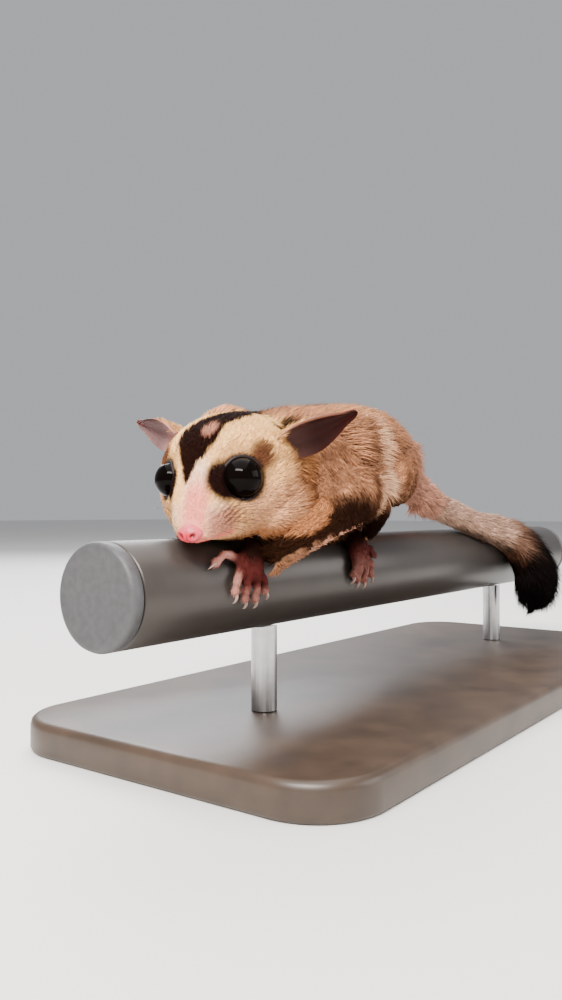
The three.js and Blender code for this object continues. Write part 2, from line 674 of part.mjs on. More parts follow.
function build() {
  const group = new THREE.Group();
  const add = (made) => group.add(made);
  const railRoom = rail(GAP, RAIL_LENGTH + 40);
  const coat = tailCoat();
  const bodyWhole = (swell) => join([trunk(swell), tail(swell), headShape(swell)]);
  const body = bodyWhole(0);
  const bodyRoom = bodyWhole(GAP);
  const room = (name) => limb(name, GAP);

  add(node("perch_rail", rail(), [], FINISHES.rail));
  add(node("perch_cap_front", railCap(-1), [], FINISHES.cap));
  add(node("perch_cap_back", railCap(1), [], FINISHES.cap));
  add(node("stand_base", standBase(), [], FINISHES.stand));
  add(node("stand_rod_front", standRod(-ROD_SPREAD), [], FINISHES.rod));
  add(node("stand_rod_back", standRod(ROD_SPREAD), [], FINISHES.rod));

  // The head keeps the eyes, nose and ears apart, and its lids, lips and mouth line in one piece.
  const mouth = mouthLine(0.35);
  const lips = join([mouthLine(0.75, 0.5), mouthLine(0.75, -0.55)]);
  const balls = [1, -1].map((side) => eyeball(side, GAP));
  const bowls = [1, -1].map((side) => eyeBowl(side));
  const face = join([headShape(), lips]).subtract(join(bowls));
  const head = between(join([face, lids(1), lids(-1)]), null, CUTS.neck);
  add(node("head", head, [...balls, mouth, noseShape(GAP), railRoom], FINISHES.face));
  add(node("nose", noseShape(), [nostrils(), beyond(noseBack(), noseInward())], FINISHES.nose));
  add(node("eye_left", eyeball(1), [], FINISHES.eye));
  add(node("eye_right", eyeball(-1), [], FINISHES.eye));
  add(node("ear_left", ear(1), [bodyRoom], FINISHES.ear));
  add(node("ear_right", ear(-1), [bodyRoom], FINISHES.ear));

  const ears = [ear(1, GAP), ear(-1, GAP)];
  add(node("neck", between(body, CUTS.neck, CUTS.chest), [railRoom, ...ears], FINISHES.coat));
  add(node("chest", between(body, CUTS.chest, CUTS.loin), [railRoom, ...ears], FINISHES.coat));
  add(node("rump", between(body, CUTS.loin, CUTS.root), [railRoom], FINISHES.coat));
  add(node("tail_root", between(coat, CUTS.root, CUTS.middle), [railRoom], FINISHES.coat));
  add(node("tail_middle", between(coat, CUTS.middle, CUTS.brush), [railRoom], FINISHES.coat));
  add(node("tail_brush", between(coat, CUTS.brush, null), [railRoom], FINISHES.brush));

  for (const side of ["left", "right"]) {
    const arm = `upper_arm_${side}`;
    const forearm = `forearm_${side}`;
    const thigh = `thigh_${side}`;
    const shank = `shank_${side}`;
    const hand = handShape(`hand_${side}`);
    const foot = handShape(`foot_${side}`);
    add(node(arm, limb(arm), [bodyRoom, railRoom], FINISHES.coat));
    add(node(forearm, limb(forearm), [bodyRoom, room(arm), railRoom], FINISHES.membrane));
    add(node(`hand_${side}`, hand, [bodyRoom, room(forearm), room(arm), railRoom], FINISHES.skin));
    add(node(thigh, limb(thigh), [bodyRoom, railRoom], FINISHES.coat));
    add(node(shank, limb(shank), [bodyRoom, room(thigh), railRoom], FINISHES.membrane));
    add(node(`foot_${side}`, foot, [bodyRoom, room(shank), room(thigh), railRoom], FINISHES.skin));
    const met = [bodyRoom, room(arm), room(forearm), room(thigh), room(shank), railRoom];
    add(node(`membrane_${side}`, membrane(`membrane_${side}`), met, FINISHES.membrane));
  }
  group.position.z = RAIL_HEIGHT;
  return group;
}

// The nose pad's back is cut square, a little behind its middle.
function noseBack() {
  return vec(NOSE.forward - 1.2, NOSE.side, NOSE.up).applyMatrix4(HEAD_PLACE);
}
function noseInward() {
  return vec(-1, 0, 0).transformDirection(HEAD_PLACE);
}

export default build();
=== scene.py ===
"""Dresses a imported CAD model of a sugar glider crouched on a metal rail.

One skin stands for the flesh solids, and the coat is mesh tufts that grow from it and follow its lie.
Shapes are worked out in millimetres about the rail's axis and lifted to their place when they are made.
"""

import math

import bmesh
import bpy
import numpy as np
from bpy.props import FloatProperty, FloatVectorProperty, IntProperty, PointerProperty
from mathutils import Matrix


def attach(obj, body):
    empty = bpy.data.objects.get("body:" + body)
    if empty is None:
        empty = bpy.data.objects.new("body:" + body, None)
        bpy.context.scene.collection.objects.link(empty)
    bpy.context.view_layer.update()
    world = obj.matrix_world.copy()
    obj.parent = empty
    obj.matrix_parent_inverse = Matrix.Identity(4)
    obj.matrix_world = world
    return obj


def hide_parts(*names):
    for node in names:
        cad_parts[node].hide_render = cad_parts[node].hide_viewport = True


bl_info = {
    "name": "Sugar glider on a rail",
    "version": (1, 0, 0),
    "blender": (4, 5, 0),
    "location": "View3D > Sidebar > Glider",
    "description": "Skin, coat, eyes, ears, nose, hands and stand of a life-size sugar glider",
    "category": "Object",
}

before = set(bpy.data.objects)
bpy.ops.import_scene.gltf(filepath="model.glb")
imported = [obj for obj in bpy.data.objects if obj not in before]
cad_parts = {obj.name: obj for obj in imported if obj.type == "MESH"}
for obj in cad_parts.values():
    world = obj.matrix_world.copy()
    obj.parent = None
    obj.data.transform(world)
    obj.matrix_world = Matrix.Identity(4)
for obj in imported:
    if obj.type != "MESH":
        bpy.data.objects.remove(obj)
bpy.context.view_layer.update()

MM = 0.001
RAIL_RADIUS = 11.0
RAIL_LENGTH = 246.0
RAIL_HEIGHT = 40.0

# The photograph's camera: its place from the rail's axis, its turn from the rail and its rise, in mm and
# degrees, and its lens and sensor in mm.
CAMERA_AT = (-235.0, -125.369, 16.384)
CAMERA_TURN = 36.403
CAMERA_RISE = 0.966
CAMERA_LENS = 29.88
SENSOR = 36.0

# The head's axes: midway between the eyes, turned to the animal's left and nose down.
HEAD_AT = np.array([-100.4, -6.3, 24.0])
HEAD_YAW = math.radians(14.0)
HEAD_PITCH = math.radians(14.0)
# Each eye's centre in head coordinates and its radius, the left being 1 and the right -1.
EYES = {1: ([0.1, 8.3, 0.0], 4.55), -1: ([-0.1, -8.5, -0.1], 4.0)}
GAZE = np.array([0.62, 0.75, 0.2]) / np.linalg.norm([0.62, 0.75, 0.2])
SNOUT_BEND = 0.17
NOSE_AT = np.array([14.2, 2.4, -8.3])

UP = np.array([0.0, 0.0, 1.0])
LEFTWARDS = np.array([0.0, 1.0, 0.0])
SIDES = (("left", 1), ("right", -1))

# Seeds of the random draws.
COAT_SEED = 11
BODY_TINT_SEED = 5
HEAD_TINT_SEED = 6
TAIL_TINT_SEED = 7
EAR_FUR_SEED = 60
WHISKER_SEED = 23


# The least half width of a tube.
THINNEST = 0.05


def head_axes():
    """Rows are the head's forward, left and up directions in the animal's frame."""
    level = np.array([-math.cos(HEAD_YAW), -math.sin(HEAD_YAW), 0.0])
    forward = level * math.cos(HEAD_PITCH) - UP * math.sin(HEAD_PITCH)
    up = level * math.sin(HEAD_PITCH) + UP * math.cos(HEAD_PITCH)
    return np.array([forward, np.cross(up, forward), up])


HEAD_AXES = head_axes()


def from_head(points):
    """Head coordinates (forward, left, up) turned into the animal's frame."""
    return HEAD_AT + np.asarray(points, float) @ HEAD_AXES


def to_head(points):
    """Places in the animal's frame turned into head coordinates (forward, left, up)."""
    return (np.asarray(points, float) - HEAD_AT) @ HEAD_AXES.T


def snout_line(forward):
    """How far left the snout's middle line has bent at each distance forward of the eyes."""
    return SNOUT_BEND * np.maximum(forward, 0)


# Shapes, each worked out as whole arrays


def smooth(low, high, x):
    """0 below low, 1 above high, and an S curve between them."""
    t = np.clip((x - low) / (high - low), 0.0, 1.0)
    return t * t * (3.0 - 2.0 * t)


def unit(v):
    """Each row scaled to a length of one."""
    v = np.asarray(v, float)
    return v / np.maximum(np.linalg.norm(v, axis=-1, keepdims=True), 1e-9)


def through(keys, t):
    """A smooth Catmull-Rom curve through evenly spaced rows of keys, at each t from 0 to 1."""
    keys = np.asarray(keys, float)
    n = len(keys) - 1
    s = np.clip(np.asarray(t, float), 0.0, 1.0) * n
    i = np.minimum(s.astype(int), n - 1)
    f = (s - i)[:, None] if keys.ndim > 1 else s - i
    a, b, c, d = keys[np.maximum(i - 1, 0)], keys[i], keys[i + 1], keys[np.minimum(i + 2, n)]
    return b + 0.5 * f * (c - a + f * (2 * a - 5 * b + 4 * c - d + f * (3 * b - a - 3 * c + d)))


def ring_points(centre, side, up, wide, above, below, count, power=2.0):
    """Superellipse rings about each centre: a point is wide*cos^(2/power) along side, and above or below
    times sin^(2/power) along up."""
    angle = 2.0 * np.pi * (np.arange(count) + 0.5) / count
    c, s = np.cos(angle), np.sin(angle)
    across = np.sign(c) * np.abs(c) ** (2.0 / power)
    rise = np.sign(s) * np.abs(s) ** (2.0 / power)
    tall = np.where(s > 0, np.asarray(above)[:, None], np.asarray(below)[:, None])
    return (
        centre[:, None, :]
        + side[:, None, :] * (np.asarray(wide)[:, None] * across)[..., None]
        + up[:, None, :] * (tall * rise)[..., None]
    )


def grid_faces(rings, count, closed=True):
    """Quads between neighbouring rings of a grid, facing out for rings that run left-handed along the path."""
    r = np.arange(rings - 1)[:, None]
    s = np.arange(count if closed else count - 1)[None, :]
    nxt = (s + 1) % count
    a, b = r * count + s, r * count + nxt
    return np.stack([a, b, b + count, a + count], -1).reshape(-1, 4)


def capped(rings):
    """A closed surface from a grid of rings, with a fan at each end about the ring's middle."""
    n, count, _ = rings.shape
    points = np.concatenate([rings.reshape(-1, 3), rings[0].mean(0)[None], rings[-1].mean(0)[None]])
    s = np.arange(count)
    nxt = (s + 1) % count
    first, last = n * count, n * count + 1
    start = np.stack([np.full(count, first), nxt, s], -1)
    end = np.stack([np.full(count, last), (n - 1) * count + s, (n - 1) * count + nxt], -1)
    return points, [grid_faces(n, count), start, end]


def heading(keys, t):
    """The direction of the curve through keys at each t, from the places just before and just after it."""
    step = 0.01
    after, before = through(keys, np.minimum(t + step, 1.0)), through(keys, np.maximum(t - step, 0.0))
    return unit(after[:, :3] - before[:, :3])


def tube(keys, sides, steps, swell=0.0, flat=(0.0, 0.0, 1.0)):
    """A capped tube: an ellipse carried along a smooth path, keys being x, y, z, half width, half height."""
    keys = np.array([list(k) + [k[3]] * (5 - len(k)) for k in keys], float)
    t = np.linspace(0.0, 1.0, steps + 1)
    path = through(keys, t)
    ahead = heading(keys, t)
    side = unit(np.cross(np.broadcast_to(np.asarray(flat, float), ahead.shape), ahead))
    up = np.cross(ahead, side)
    wide, high = np.maximum(path[:, 3:5] + swell, THINNEST).T
    return capped(ring_points(path[:, :3], side, up, wide, high, high, sides))


def ball(centre, radii, across=32, rows=20):
    """An ellipsoid: latitude rings of radius sin(t) and height cos(t), scaled by the three half sizes."""
    t = np.linspace(0.0, np.pi, rows + 1)[1:-1]
    a = 2.0 * np.pi * np.arange(across) / across
    girth, level = np.sin(t)[:, None], np.repeat(np.cos(t)[:, None], across, 1)
    rings = np.stack([girth * np.cos(a), girth * np.sin(a), level], -1)
    centre = np.asarray(centre, float)
    rings = rings * np.asarray(radii, float) + centre
    pole = np.array([0, 0, radii[2]])
    points = np.concatenate([rings.reshape(-1, 3), (centre + pole)[None], (centre - pole)[None]])
    n = rows - 1
    s = np.arange(across)
    nxt = (s + 1) % across
    top = np.stack([np.full(across, n * across), s, nxt], -1)
    foot = np.stack([np.full(across, n * across + 1), (n - 1) * across + nxt, (n - 1) * across + s], -1)
    return points, [grid_faces(n, across)[:, ::-1], top, foot]


def joined(parts):
    """Several (points, faces) meshes as one."""
    points, faces, start = [], [], 0
    for p, groups in parts:
        points.append(p)
        faces += [g + start for g in groups]
        start += len(p)
    return np.concatenate(points), faces


def make_mesh(name, points, faces):
    """An object at the origin whose mesh holds the points, in metres, and the faces, shaded smooth."""
    mesh = bpy.data.meshes.new(name)
    place = (np.asarray(points, float) + UP * RAIL_HEIGHT) * MM
    loops = np.concatenate([f.ravel() for f in faces]).astype(np.int32)
    sizes = np.concatenate([np.full(len(f), f.shape[1]) for f in faces]).astype(np.int32)
    starts = np.concatenate([[0], np.cumsum(sizes)[:-1]]).astype(np.int32)
    mesh.vertices.add(len(place))
    mesh.vertices.foreach_set("co", place.astype(np.float32).ravel())
    mesh.loops.add(len(loops))
    mesh.loops.foreach_set("vertex_index", loops)
    mesh.polygons.add(len(sizes))
    mesh.polygons.foreach_set("loop_start", starts)
    mesh.polygons.foreach_set("use_smooth", np.ones(len(sizes), bool))
    mesh.update(calc_edges=True)
    mesh.validate()
    piece = bpy.data.objects.new(name, mesh)
    bpy.context.scene.collection.objects.link(piece)
    return piece


def applied(piece):
    """The piece's modifiers made part of its mesh."""
    graph = bpy.context.evaluated_depsgraph_get()
    mesh = bpy.data.meshes.new_from_object(piece.evaluated_get(graph))
    old = piece.data
    piece.modifiers.clear()
    piece.data = mesh
    bpy.data.meshes.remove(old)
    mesh.polygons.foreach_set("use_smooth", np.ones(len(mesh.polygons), bool))
    return piece


def points_of(piece):
    """The piece's points in mm about the rail's axis."""
    co = np.empty(len(piece.data.vertices) * 3, np.float32)
    piece.data.vertices.foreach_get("co", co)
    return co.reshape(-1, 3).astype(float) / MM - UP * RAIL_HEIGHT


def set_points(piece, points):
    """Puts points in mm about the rail's axis back into the piece's mesh."""
    piece.data.vertices.foreach_set("co", ((points + UP * RAIL_HEIGHT) * MM).astype(np.float32).ravel())
    piece.data.update()


def normals_of(piece):
    """The piece's vertex normals."""
    n = np.empty(len(piece.data.vertices) * 3, np.float32)
    piece.data.vertex_normals.foreach_get("vector", n)
    return n.reshape(-1, 3).astype(float)


def off_rail(points, height=0.15):
    """Points that would be inside the rail moved straight out to a little above its surface."""
    past_the_end = 2
    radius = np.hypot(points[:, 1], points[:, 2])
    near = radius < RAIL_RADIUS + height
    near &= np.abs(points[:, 0]) < RAIL_LENGTH / 2 + past_the_end
    scale = np.where(near, (RAIL_RADIUS + height) / np.maximum(radius, 1e-6), 1.0)
    out = points.copy()
    out[:, 1:] *= scale[:, None]
    return out


def on_rail(x, turn, height):
    """A place x along the rail, turn degrees round from its top towards -Y, at a height off its surface."""
    r = RAIL_RADIUS + height
    return [x, -r * math.sin(math.radians(turn)), r * math.cos(math.radians(turn))]


def waves(points, size, seed):
    """Smooth noise, mostly from -1 to 1: a mean of sine waves of about the given length in many directions."""
    count, gain = 9, 1.9
    rng = np.random.default_rng(seed)
    ways = unit(rng.normal(size=(count, 3))) * (2.0 * np.pi / size) * rng.uniform(0.6, 1.6, (count, 1))
    return np.sin(points @ ways.T + rng.uniform(0, 6.283, count)).mean(1) * gain


def wave_vectors(points, size, seed):
    """Smooth noise for each of the three directions, from three seeds that follow one another."""
    return np.column_stack([waves(points, size, seed + i) for i in range(3)])


# The animal's forms: keys of each form in mm, and how deep the skin lies under the coat's outline

# Trunk keys: x, y, top, underside, half width.
TRUNK = [
    [-90, -5.5, 35, 16, 9],
    [-81, -3.5, 40.5, 12.6, 15.5],
    [-71, -0.5, 43.6, 11.4, 21.5],
    [-59, 0.5, 45.2, 11.3, 25],
    [-46, 0, 47, 11.4, 24],
    [-32, 0, 47.5, 14.4, 21],
    [-18, 0, 43.6, 19.4, 14.6],
    [-6, 0, 39, 20.8, 9.6],
    [4, 0, 34, 19.2, 6.8],
    [12, 0, 29.2, 16.6, 6.1],
    [18, 0, 26, 14.6, 5.6],
]
# Shoulders and haunches: centre and half sizes.
LOBES = [
    ([-71, 12.5, 35.5], [12, 9.5, 10.8]),
    ([-70, -13, 30], [12, 10, 11.5]),
    ([-25, 8, 31], [12, 11, 11.5]),
    ([-25, -8, 31], [12, 11, 11.5]),
]
# What fills the throat, in head coordinates, and the hollows beside the two arms and under the belly.
THROAT_FILL = ([-9.5, 2.5, -8.2], [8.6, 8.6, 6.4])
FILLS = [
    ([-84.5, -13.6, 17.4], [9.0, 6.8, 6.9]),
    ([-79.5, 11, 18.4], [7.5, 6.0, 6.5]),
    ([-39, -3, 13.4], [9.0, 7.5, 4.2]),
]
# Tail keys: x, y, z, half width, half height.
TAIL = [
    [10, 0, 23.5, 6, 6.6],
    [18, -1, 20, 6, 6],
    [28, -4, 16.6, 6.1, 5.8],
    [38, -7.8, 13, 6.3, 5.6],
    [48, -11.2, 10.8, 6.6, 5.5],
    [57.5, -14, 7.2, 7.2, 5.8],
    [64, -16.8, 1.2, 8, 6.4],
    [66.4, -18.6, -5.4, 8.6, 7],
    [66.8, -18.8, -11.4, 7, 6],
    [66.4, -18, -16.6, 2, 2],
]
# Head keys in head coordinates: forward, half width, top, underside, middle.
HEAD = [
    [-25, 8, 9.5, -9, 0],
    [-20, 12.5, 12, -13, 0],
    [-15, 15.2, 13, -15, -1],
    [-10, 16.4, 13, -15.8, -2.5],
    [-5.5, 15.8, 12, -15.4, -4],
    [-1.5, 13.4, 10.2, -14.4, -5],
    [2.5, 10.6, 7.2, -13.3, -6],
    [6, 8, 3.6, -12.2, -7],
    [9.5, 5.9, -0.4, -11.4, -7.4],
    [12.6, 4.1, -4.2, -10.6, -8],
    [14.6, 2.2, -6.2, -9.6, -8.3],
]
# Limb keys: x, y, z and two half widths.
LIMBS = {
    "upper_arm_left": [
        [-71, -10, 31, 8, 7.6],
        [-70.5, -18, 24, 7.6, 6.8],
        [-71.6, -22, 17.6, 5.8, 5.4],
        [-72, -22.8, 13.6, 1.5, 1.5],
    ],
    "forearm_left": [
        [-70, -21.6, 15.6, 1.5, 1.5],
        [-73, -21.8, 14.6, 4.9, 4.6],
        [-81, -19.6, 11.6, 4.4, 4.2],
        [-90, -14.6, 7.6, 2.7, 2.6],
    ],
    "upper_arm_right": [
        [-69, 11, 33, 7.6, 7.2],
        [-67.5, 18.6, 25.6, 7.2, 6.6],
        [-68.6, 22, 18.4, 5.6, 5.2],
        [-69.6, 22.6, 14.4, 1.5, 1.5],
    ],
    "forearm_right": [
        [-67, 21.6, 16.4, 1.5, 1.5],
        [-70, 21.6, 15.6, 4.9, 4.6],
        [-77, 19, 13.4, 4.3, 4],
        [-86, 12.4, 11.8, 2.7, 2.6],
    ],
    "thigh_left": [
        [-24, -8, 30, 8, 8.6],
        [-33, -13.6, 28.5, 8.4, 9.4],
        [-41, -18.6, 26, 7.6, 8.6],
        [-48.6, -21, 23.4, 5, 5.6],
        [-50.8, -21.4, 20.4, 1.5, 1.5],
    ],
    "shank_left": [
        [-50, -20.8, 22, 3, 3],
        [-49.8, -19.4, 18.4, 4.3, 4.3],
        [-48, -17, 14.2, 3.5, 3.5],
        [-45.6, -14.2, 11.2, 2.5, 2.5],
    ],
    "thigh_right": [
        [-22, 8, 30, 8, 8.6],
        [-31, 13.6, 28.5, 8.4, 9.4],
        [-39, 18.6, 26, 7.6, 8.6],
        [-47.6, 21, 23.4, 5, 5.6],
        [-49.8, 21.4, 20.4, 1.5, 1.5],
    ],
    "shank_right": [
        [-49, 20.8, 22, 3, 3],
        [-48.8, 19.4, 18.4, 4.3, 4.3],
        [-47, 17, 14.2, 3.5, 3.5],
        [-43.8, 14.2, 11.2, 2.5, 2.5],
    ],
}
# Hands and feet: 1 for the left or -1, the palm's keys (x, turn round the rail, height off it, half width)
# and each digit's three joints (x, turn round the rail).
HANDS = {
    "hand_left": (1, [[-90, 52, 2.4, 2.7], [-92.5, 64, 2.4, 3.6], [-94, 80, 2, 3.4]], [
        [[-94.5, 60], [-99.4, 54], [-103, 61]],
        [[-95.8, 70], [-98.2, 79], [-98.2, 92]],
        [[-94.4, 74], [-95.4, 88], [-94.8, 100]],
        [[-92.6, 74], [-91.9, 89], [-91.2, 101]],
        [[-91, 70], [-89.2, 82], [-87.8, 94]],
    ]),
    "hand_right": (-1, [[-86, 42, 2.4, 2.7], [-88.5, 52, 2.3, 3.5], [-90.5, 66, 2, 3.4]], [
        [[-91, 47], [-96, 42], [-100, 46]],
        [[-92.4, 60], [-97, 70], [-98.4, 88]],
        [[-91.6, 67], [-93.6, 84], [-93.8, 102]],
        [[-89.6, 68], [-89.4, 88], [-89, 106]],
        [[-87.8, 64], [-85.4, 80], [-83.6, 96]],
    ]),
    "foot_left": (1, [[-45, 44, 2.8, 2.8], [-45.8, 54, 2.6, 3.6], [-46.2, 66, 2.1, 3.5]], [
        [[-43, 56], [-39.8, 58], [-38, 66]],
        [[-48.3, 65], [-49.9, 77], [-50.2, 88]],
        [[-47, 67], [-47.9, 81], [-48.1, 94]],
        [[-45.2, 67], [-45, 82], [-44.8, 96]],
        [[-43.6, 64], [-42.2, 77], [-41.2, 90]],
    ]),
    "foot_right": (-1, [[-41, 48, 3, 3], [-42, 60, 2.6, 3.9], [-42.6, 76, 2.1, 3.8]], [
        [[-39.2, 64], [-35.2, 68], [-32.8, 78]],
        [[-45, 76], [-46.8, 92], [-47.2, 108]],
        [[-43.6, 78], [-44.5, 95], [-44.7, 113]],
        [[-41.8, 78], [-41.6, 96], [-41.4, 116]],
        [[-40.2, 75], [-38.6, 92], [-37.4, 109]],
    ]),
}
# Gliding membranes: the root line on the flank and the free edge, each from wrist to knee.
MEMBRANES = {
    "membrane_left": (
        [
            [-84, -17, 13],
            [-78, -20, 20],
            [-68, -21, 26],
            [-60, -21.5, 28],
            [-54, -20.5, 27],
            [-50, -18.5, 25],
        ],
        [
            [-89.6, -14.8, 2.8],
            [-85.5, -20, 7],
            [-78, -25, 11.4],
            [-68, -27, 14.8],
            [-59, -25.2, 18.2],
            [-52, -21, 20],
        ],
    ),
    "membrane_right": (
        [
            [-80, 16, 15],
            [-75, 19, 21],
            [-66, 21, 26],
            [-58, 21.5, 28],
            [-52, 20.5, 27],
            [-48, 18.5, 25],
        ],
        [
            [-84, 15, 9],
            [-81, 20.5, 11],
            [-74, 25, 13],
            [-65, 27, 15],
            [-57, 25.2, 18.4],
            [-50, 21, 20],
        ],
    ),
}
# Ears in head coordinates: root, tip, the way the cup faces, and breadth.
EARS = {
    "left": ([-13.6, 13, 5.6], [-22.6, 27.4, 10.8], [0.62, 0.45, -0.42], 9.6),
    "right": ([-10.6, -12.2, 8.4], [-15.1, -24, 11.6], [0.75, -0.4, -0.2], 7.8),
}
BODY_DEPTH = 2.6
HEAD_DEPTH = 0.9
LIMB_DEPTH = 1.1
TAIL_DEPTH = 2.2


def trunk_form(depth):
    """The trunk: rings across X from its keys' top, underside and half width, drawn in by the coat's depth."""
    x, y, top, low, wide = through(TRUNK, np.linspace(0, 1, 61)).T
    middle = low + 0.46 * (top - low)
    centre = np.stack([x, y, middle], -1)
    side = np.broadcast_to(LEFTWARDS, centre.shape)
    up = np.broadcast_to(UP, centre.shape)
    above, below = top - middle - depth, middle - low - depth
    return capped(ring_points(centre, side, up, wide - depth, above, below, 48, 2.25))


def head_form(depth):
    """The head: superellipse rings across the snout's axis, which bends a little to the animal's left."""
    f, wide, top, low, mid = through(HEAD, np.linspace(0, 1, 61)).T
    centre = np.stack([f, snout_line(f), mid], -1)
    side = np.broadcast_to(LEFTWARDS, centre.shape)
    up = np.broadcast_to(UP, centre.shape)
    inset = depth * (1.0 - 0.6 * smooth(4.0, 13.0, f))
    rings = ring_points(centre, side, up, wide - inset, top - mid - inset, mid - low - 0.6 * inset, 56, 2.15)
    points, faces = capped(rings)
    return from_head(points), faces


def tail_frames(t):
    """The tail's keys, side and up at each t, with up turning outwards from the rail."""
    path = through(TAIL, t)
    ahead = heading(TAIL, t)
    c = path[:, :3]
    outward = unit(np.stack([np.zeros(len(t)), c[:, 1], np.maximum(c[:, 2], 0.4 * np.abs(c[:, 1]))], -1))
    side = unit(np.cross(outward, ahead))
    return path, side, np.cross(ahead, side)


def tail_form(depth):
    """The tail: ellipses along its path, drawn in by the coat's depth."""
    path, side, up = tail_frames(np.linspace(0, 1, 71))
    wide, high = np.maximum(path[:, 3:5] - depth, 0.9).T
    return capped(ring_points(path[:, :3], side, up, wide, high, high, 28))


def membrane_form(name):
    """A slack fold: a lens of 20 sides carried from a root line on the flank to a free edge, where it is
    thinnest. It bellies out between them, with small ripples along its length."""
    thick_root, thick_edge, sag, ripple = 2.2, 0.75, 2.2, 0.25
    inner, outer = MEMBRANES[name]
    side = math.copysign(1.0, inner[0][1])
    t = np.linspace(0, 1, 41)
    root, edge = through(inner, t), through(outer, t)
    down = edge - root
    out = unit(np.cross(np.gradient(root, axis=0), down))
    out *= np.where(out[:, 1:2] * side < 0, -1.0, 1.0)
    angle = 2.0 * np.pi * (np.arange(20) + 0.5) / 20
    s = 0.5 - 0.5 * np.cos(angle)
    thick = (thick_root + (thick_edge - thick_root) * s) * np.sin(angle)
    belly = sag * np.sin(np.pi * s)
    fold = ripple * np.sin(np.pi * s) ** 2 * np.sin(21.0 * t)[:, None]
    rings = root[:, None] + down[:, None] * s[None, :, None] + out[:, None] * (thick + belly + fold)[..., None]
    return capped(rings)


def toe_joints(keys, side):
    """A digit's knuckle, middle joint and tip, each at its height off the rail."""
    return [np.array(on_rail(k[0], side * k[1], height)) for k, height in zip(keys, (1.7, 2.4, 1.4))]


def toe_form(keys, side):
    """A digit: a jointed tube over the rail with a pad at its tip."""
    thick = 0.98
    a, b, c = toe_joints(keys, side)
    mid = (b + c) / 2 + unit(b) * 0.15
    end = c + unit(c - b) * 1.1
    path = [[*a, thick * 1.15], [*b, thick * 1.05], [*mid, thick * 0.85], [*c, thick * 1.18], [*end, 0.25]]
    return tube(path, 10, 18, flat=(1, 0, 0.01))


def hand_form(name):
    """A hand or foot: a palm tube over the rail, a rounded wrist, five digits and their knuckles."""
    side, palm, toes = HANDS[name]
    keys = [[*on_rail(x, side * turn, high), wide, high] for x, turn, high, wide in palm]
    flat = unit(np.array([0, keys[1][1], keys[1][2]]))
    parts = [tube(keys, 18, 16, swell=-0.15, flat=flat), ball(keys[0][:3], [2.7, 2.7, 2.7], 24, 16)]
    parts += [toe_form(k, side) for k in toes]
    knuckles = [on_rail(k[0][0], side * k[0][1], 1.9) for k in toes]
    parts += [ball(k, [1.45, 1.45, 1.35], 12, 8) for k in knuckles]
    return parts


# Bones: which part of the body a place belongs to

IN_TRUNK, IN_HEAD, IN_TAIL, IN_LIMB, IN_MEMBRANE, IN_HAND, IN_FOOT = range(7)


def bones():
    """Samples along every form's middle line: place, direction of the coat, radius and part number."""
    rows = []

    def add(points, radius, part):
        points = np.asarray(points, float)
        ahead = unit(np.gradient(points, axis=0))
        rows.append(np.column_stack([points, ahead, radius, np.full(len(points), part)]))

    x, y, top, low, _ = through(TRUNK, np.linspace(0.05, 1, 26)).T
    add(np.column_stack([x, y, (top + low) / 2]), (top - low) / 2.1, IN_TRUNK)
    f, wide, top, low, mid = through(HEAD, np.linspace(0, 1, 16)).T
    add(from_head(np.column_stack([f, snout_line(f), mid])), (wide + top - low) / 3, IN_HEAD)
    k = through(TAIL, np.linspace(0.12, 1, 26))
    add(k[:, :3], k[:, 3], IN_TAIL)
    for keys in LIMBS.values():
        k = through(keys, np.linspace(0.2, 1, 10))
        add(k[:, :3], np.maximum(k[:, 3], 2.5), IN_LIMB)
    for inner, outer in MEMBRANES.values():
        t = np.linspace(0.08, 0.92, 12)
        root, edge = through(inner, t), through(outer, t)
        for s in (0.55, 0.8, 1.0):
            add(root + (edge - root) * s, np.full(len(t), 1.9), IN_MEMBRANE)
    for name, (side, palm, toes) in HANDS.items():
        part = IN_HAND if name.startswith("hand") else IN_FOOT
        add([on_rail(x, side * turn, height) for x, turn, height, _ in palm], np.full(len(palm), 3.0), part)
        for toe in toes:
            places = [on_rail(x, side * turn, 1.8) for x, turn in through(toe, np.linspace(0, 1, 7))]
            add(places, np.full(len(places), 1.4), part)
    return np.concatenate(rows)


BONES = bones()
PAWS = BONES[:, 7] >= IN_HAND


def belonging(points):
    """For each point the nearest bone's part number, and the coat's direction there, a soft mean over near
    bones. A distance counts in radii of its bone, and close to a paw only the paws' bones count."""
    paw_reach, never, sharpness, batch = 1.1, 20.0, 9.0, 20000
    part = np.empty(len(points), int)
    lie = np.empty((len(points), 3))
    for start in range(0, len(points), batch):
        rows = slice(start, start + batch)
        reach = np.linalg.norm(points[rows][:, None] - BONES[None, :, :3], axis=-1)
        on_paw = ((reach - BONES[:, 6])[:, PAWS] < paw_reach).any(1)
        gap = reach / BONES[:, 6] + never * (on_paw[:, None] & ~PAWS)
        part[rows] = BONES[gap.argmin(1), 7].astype(int)
        weight = np.exp(-sharpness * (gap - gap.min(1, keepdims=True)))
        lie[rows] = unit(weight @ BONES[:, 3:6])
    return part, lie


# Markings

SATURATION = 1.28
LUMINANCE = [0.2126, 0.7152, 0.0722]
FAR_OFF = 99.0


def linear(red, green, blue):
    """A screen colour of 0 to 255 as linear light, more saturated, since the film curve greys what it shows."""
    c = np.array([red, green, blue], float) / 255.0
    c = np.where(c <= 0.04045, c / 12.92, ((c + 0.055) / 1.055) ** 2.4)
    grey = c @ LUMINANCE
    return np.clip(grey + (c - grey) * SATURATION, 0.0006, 1.0)


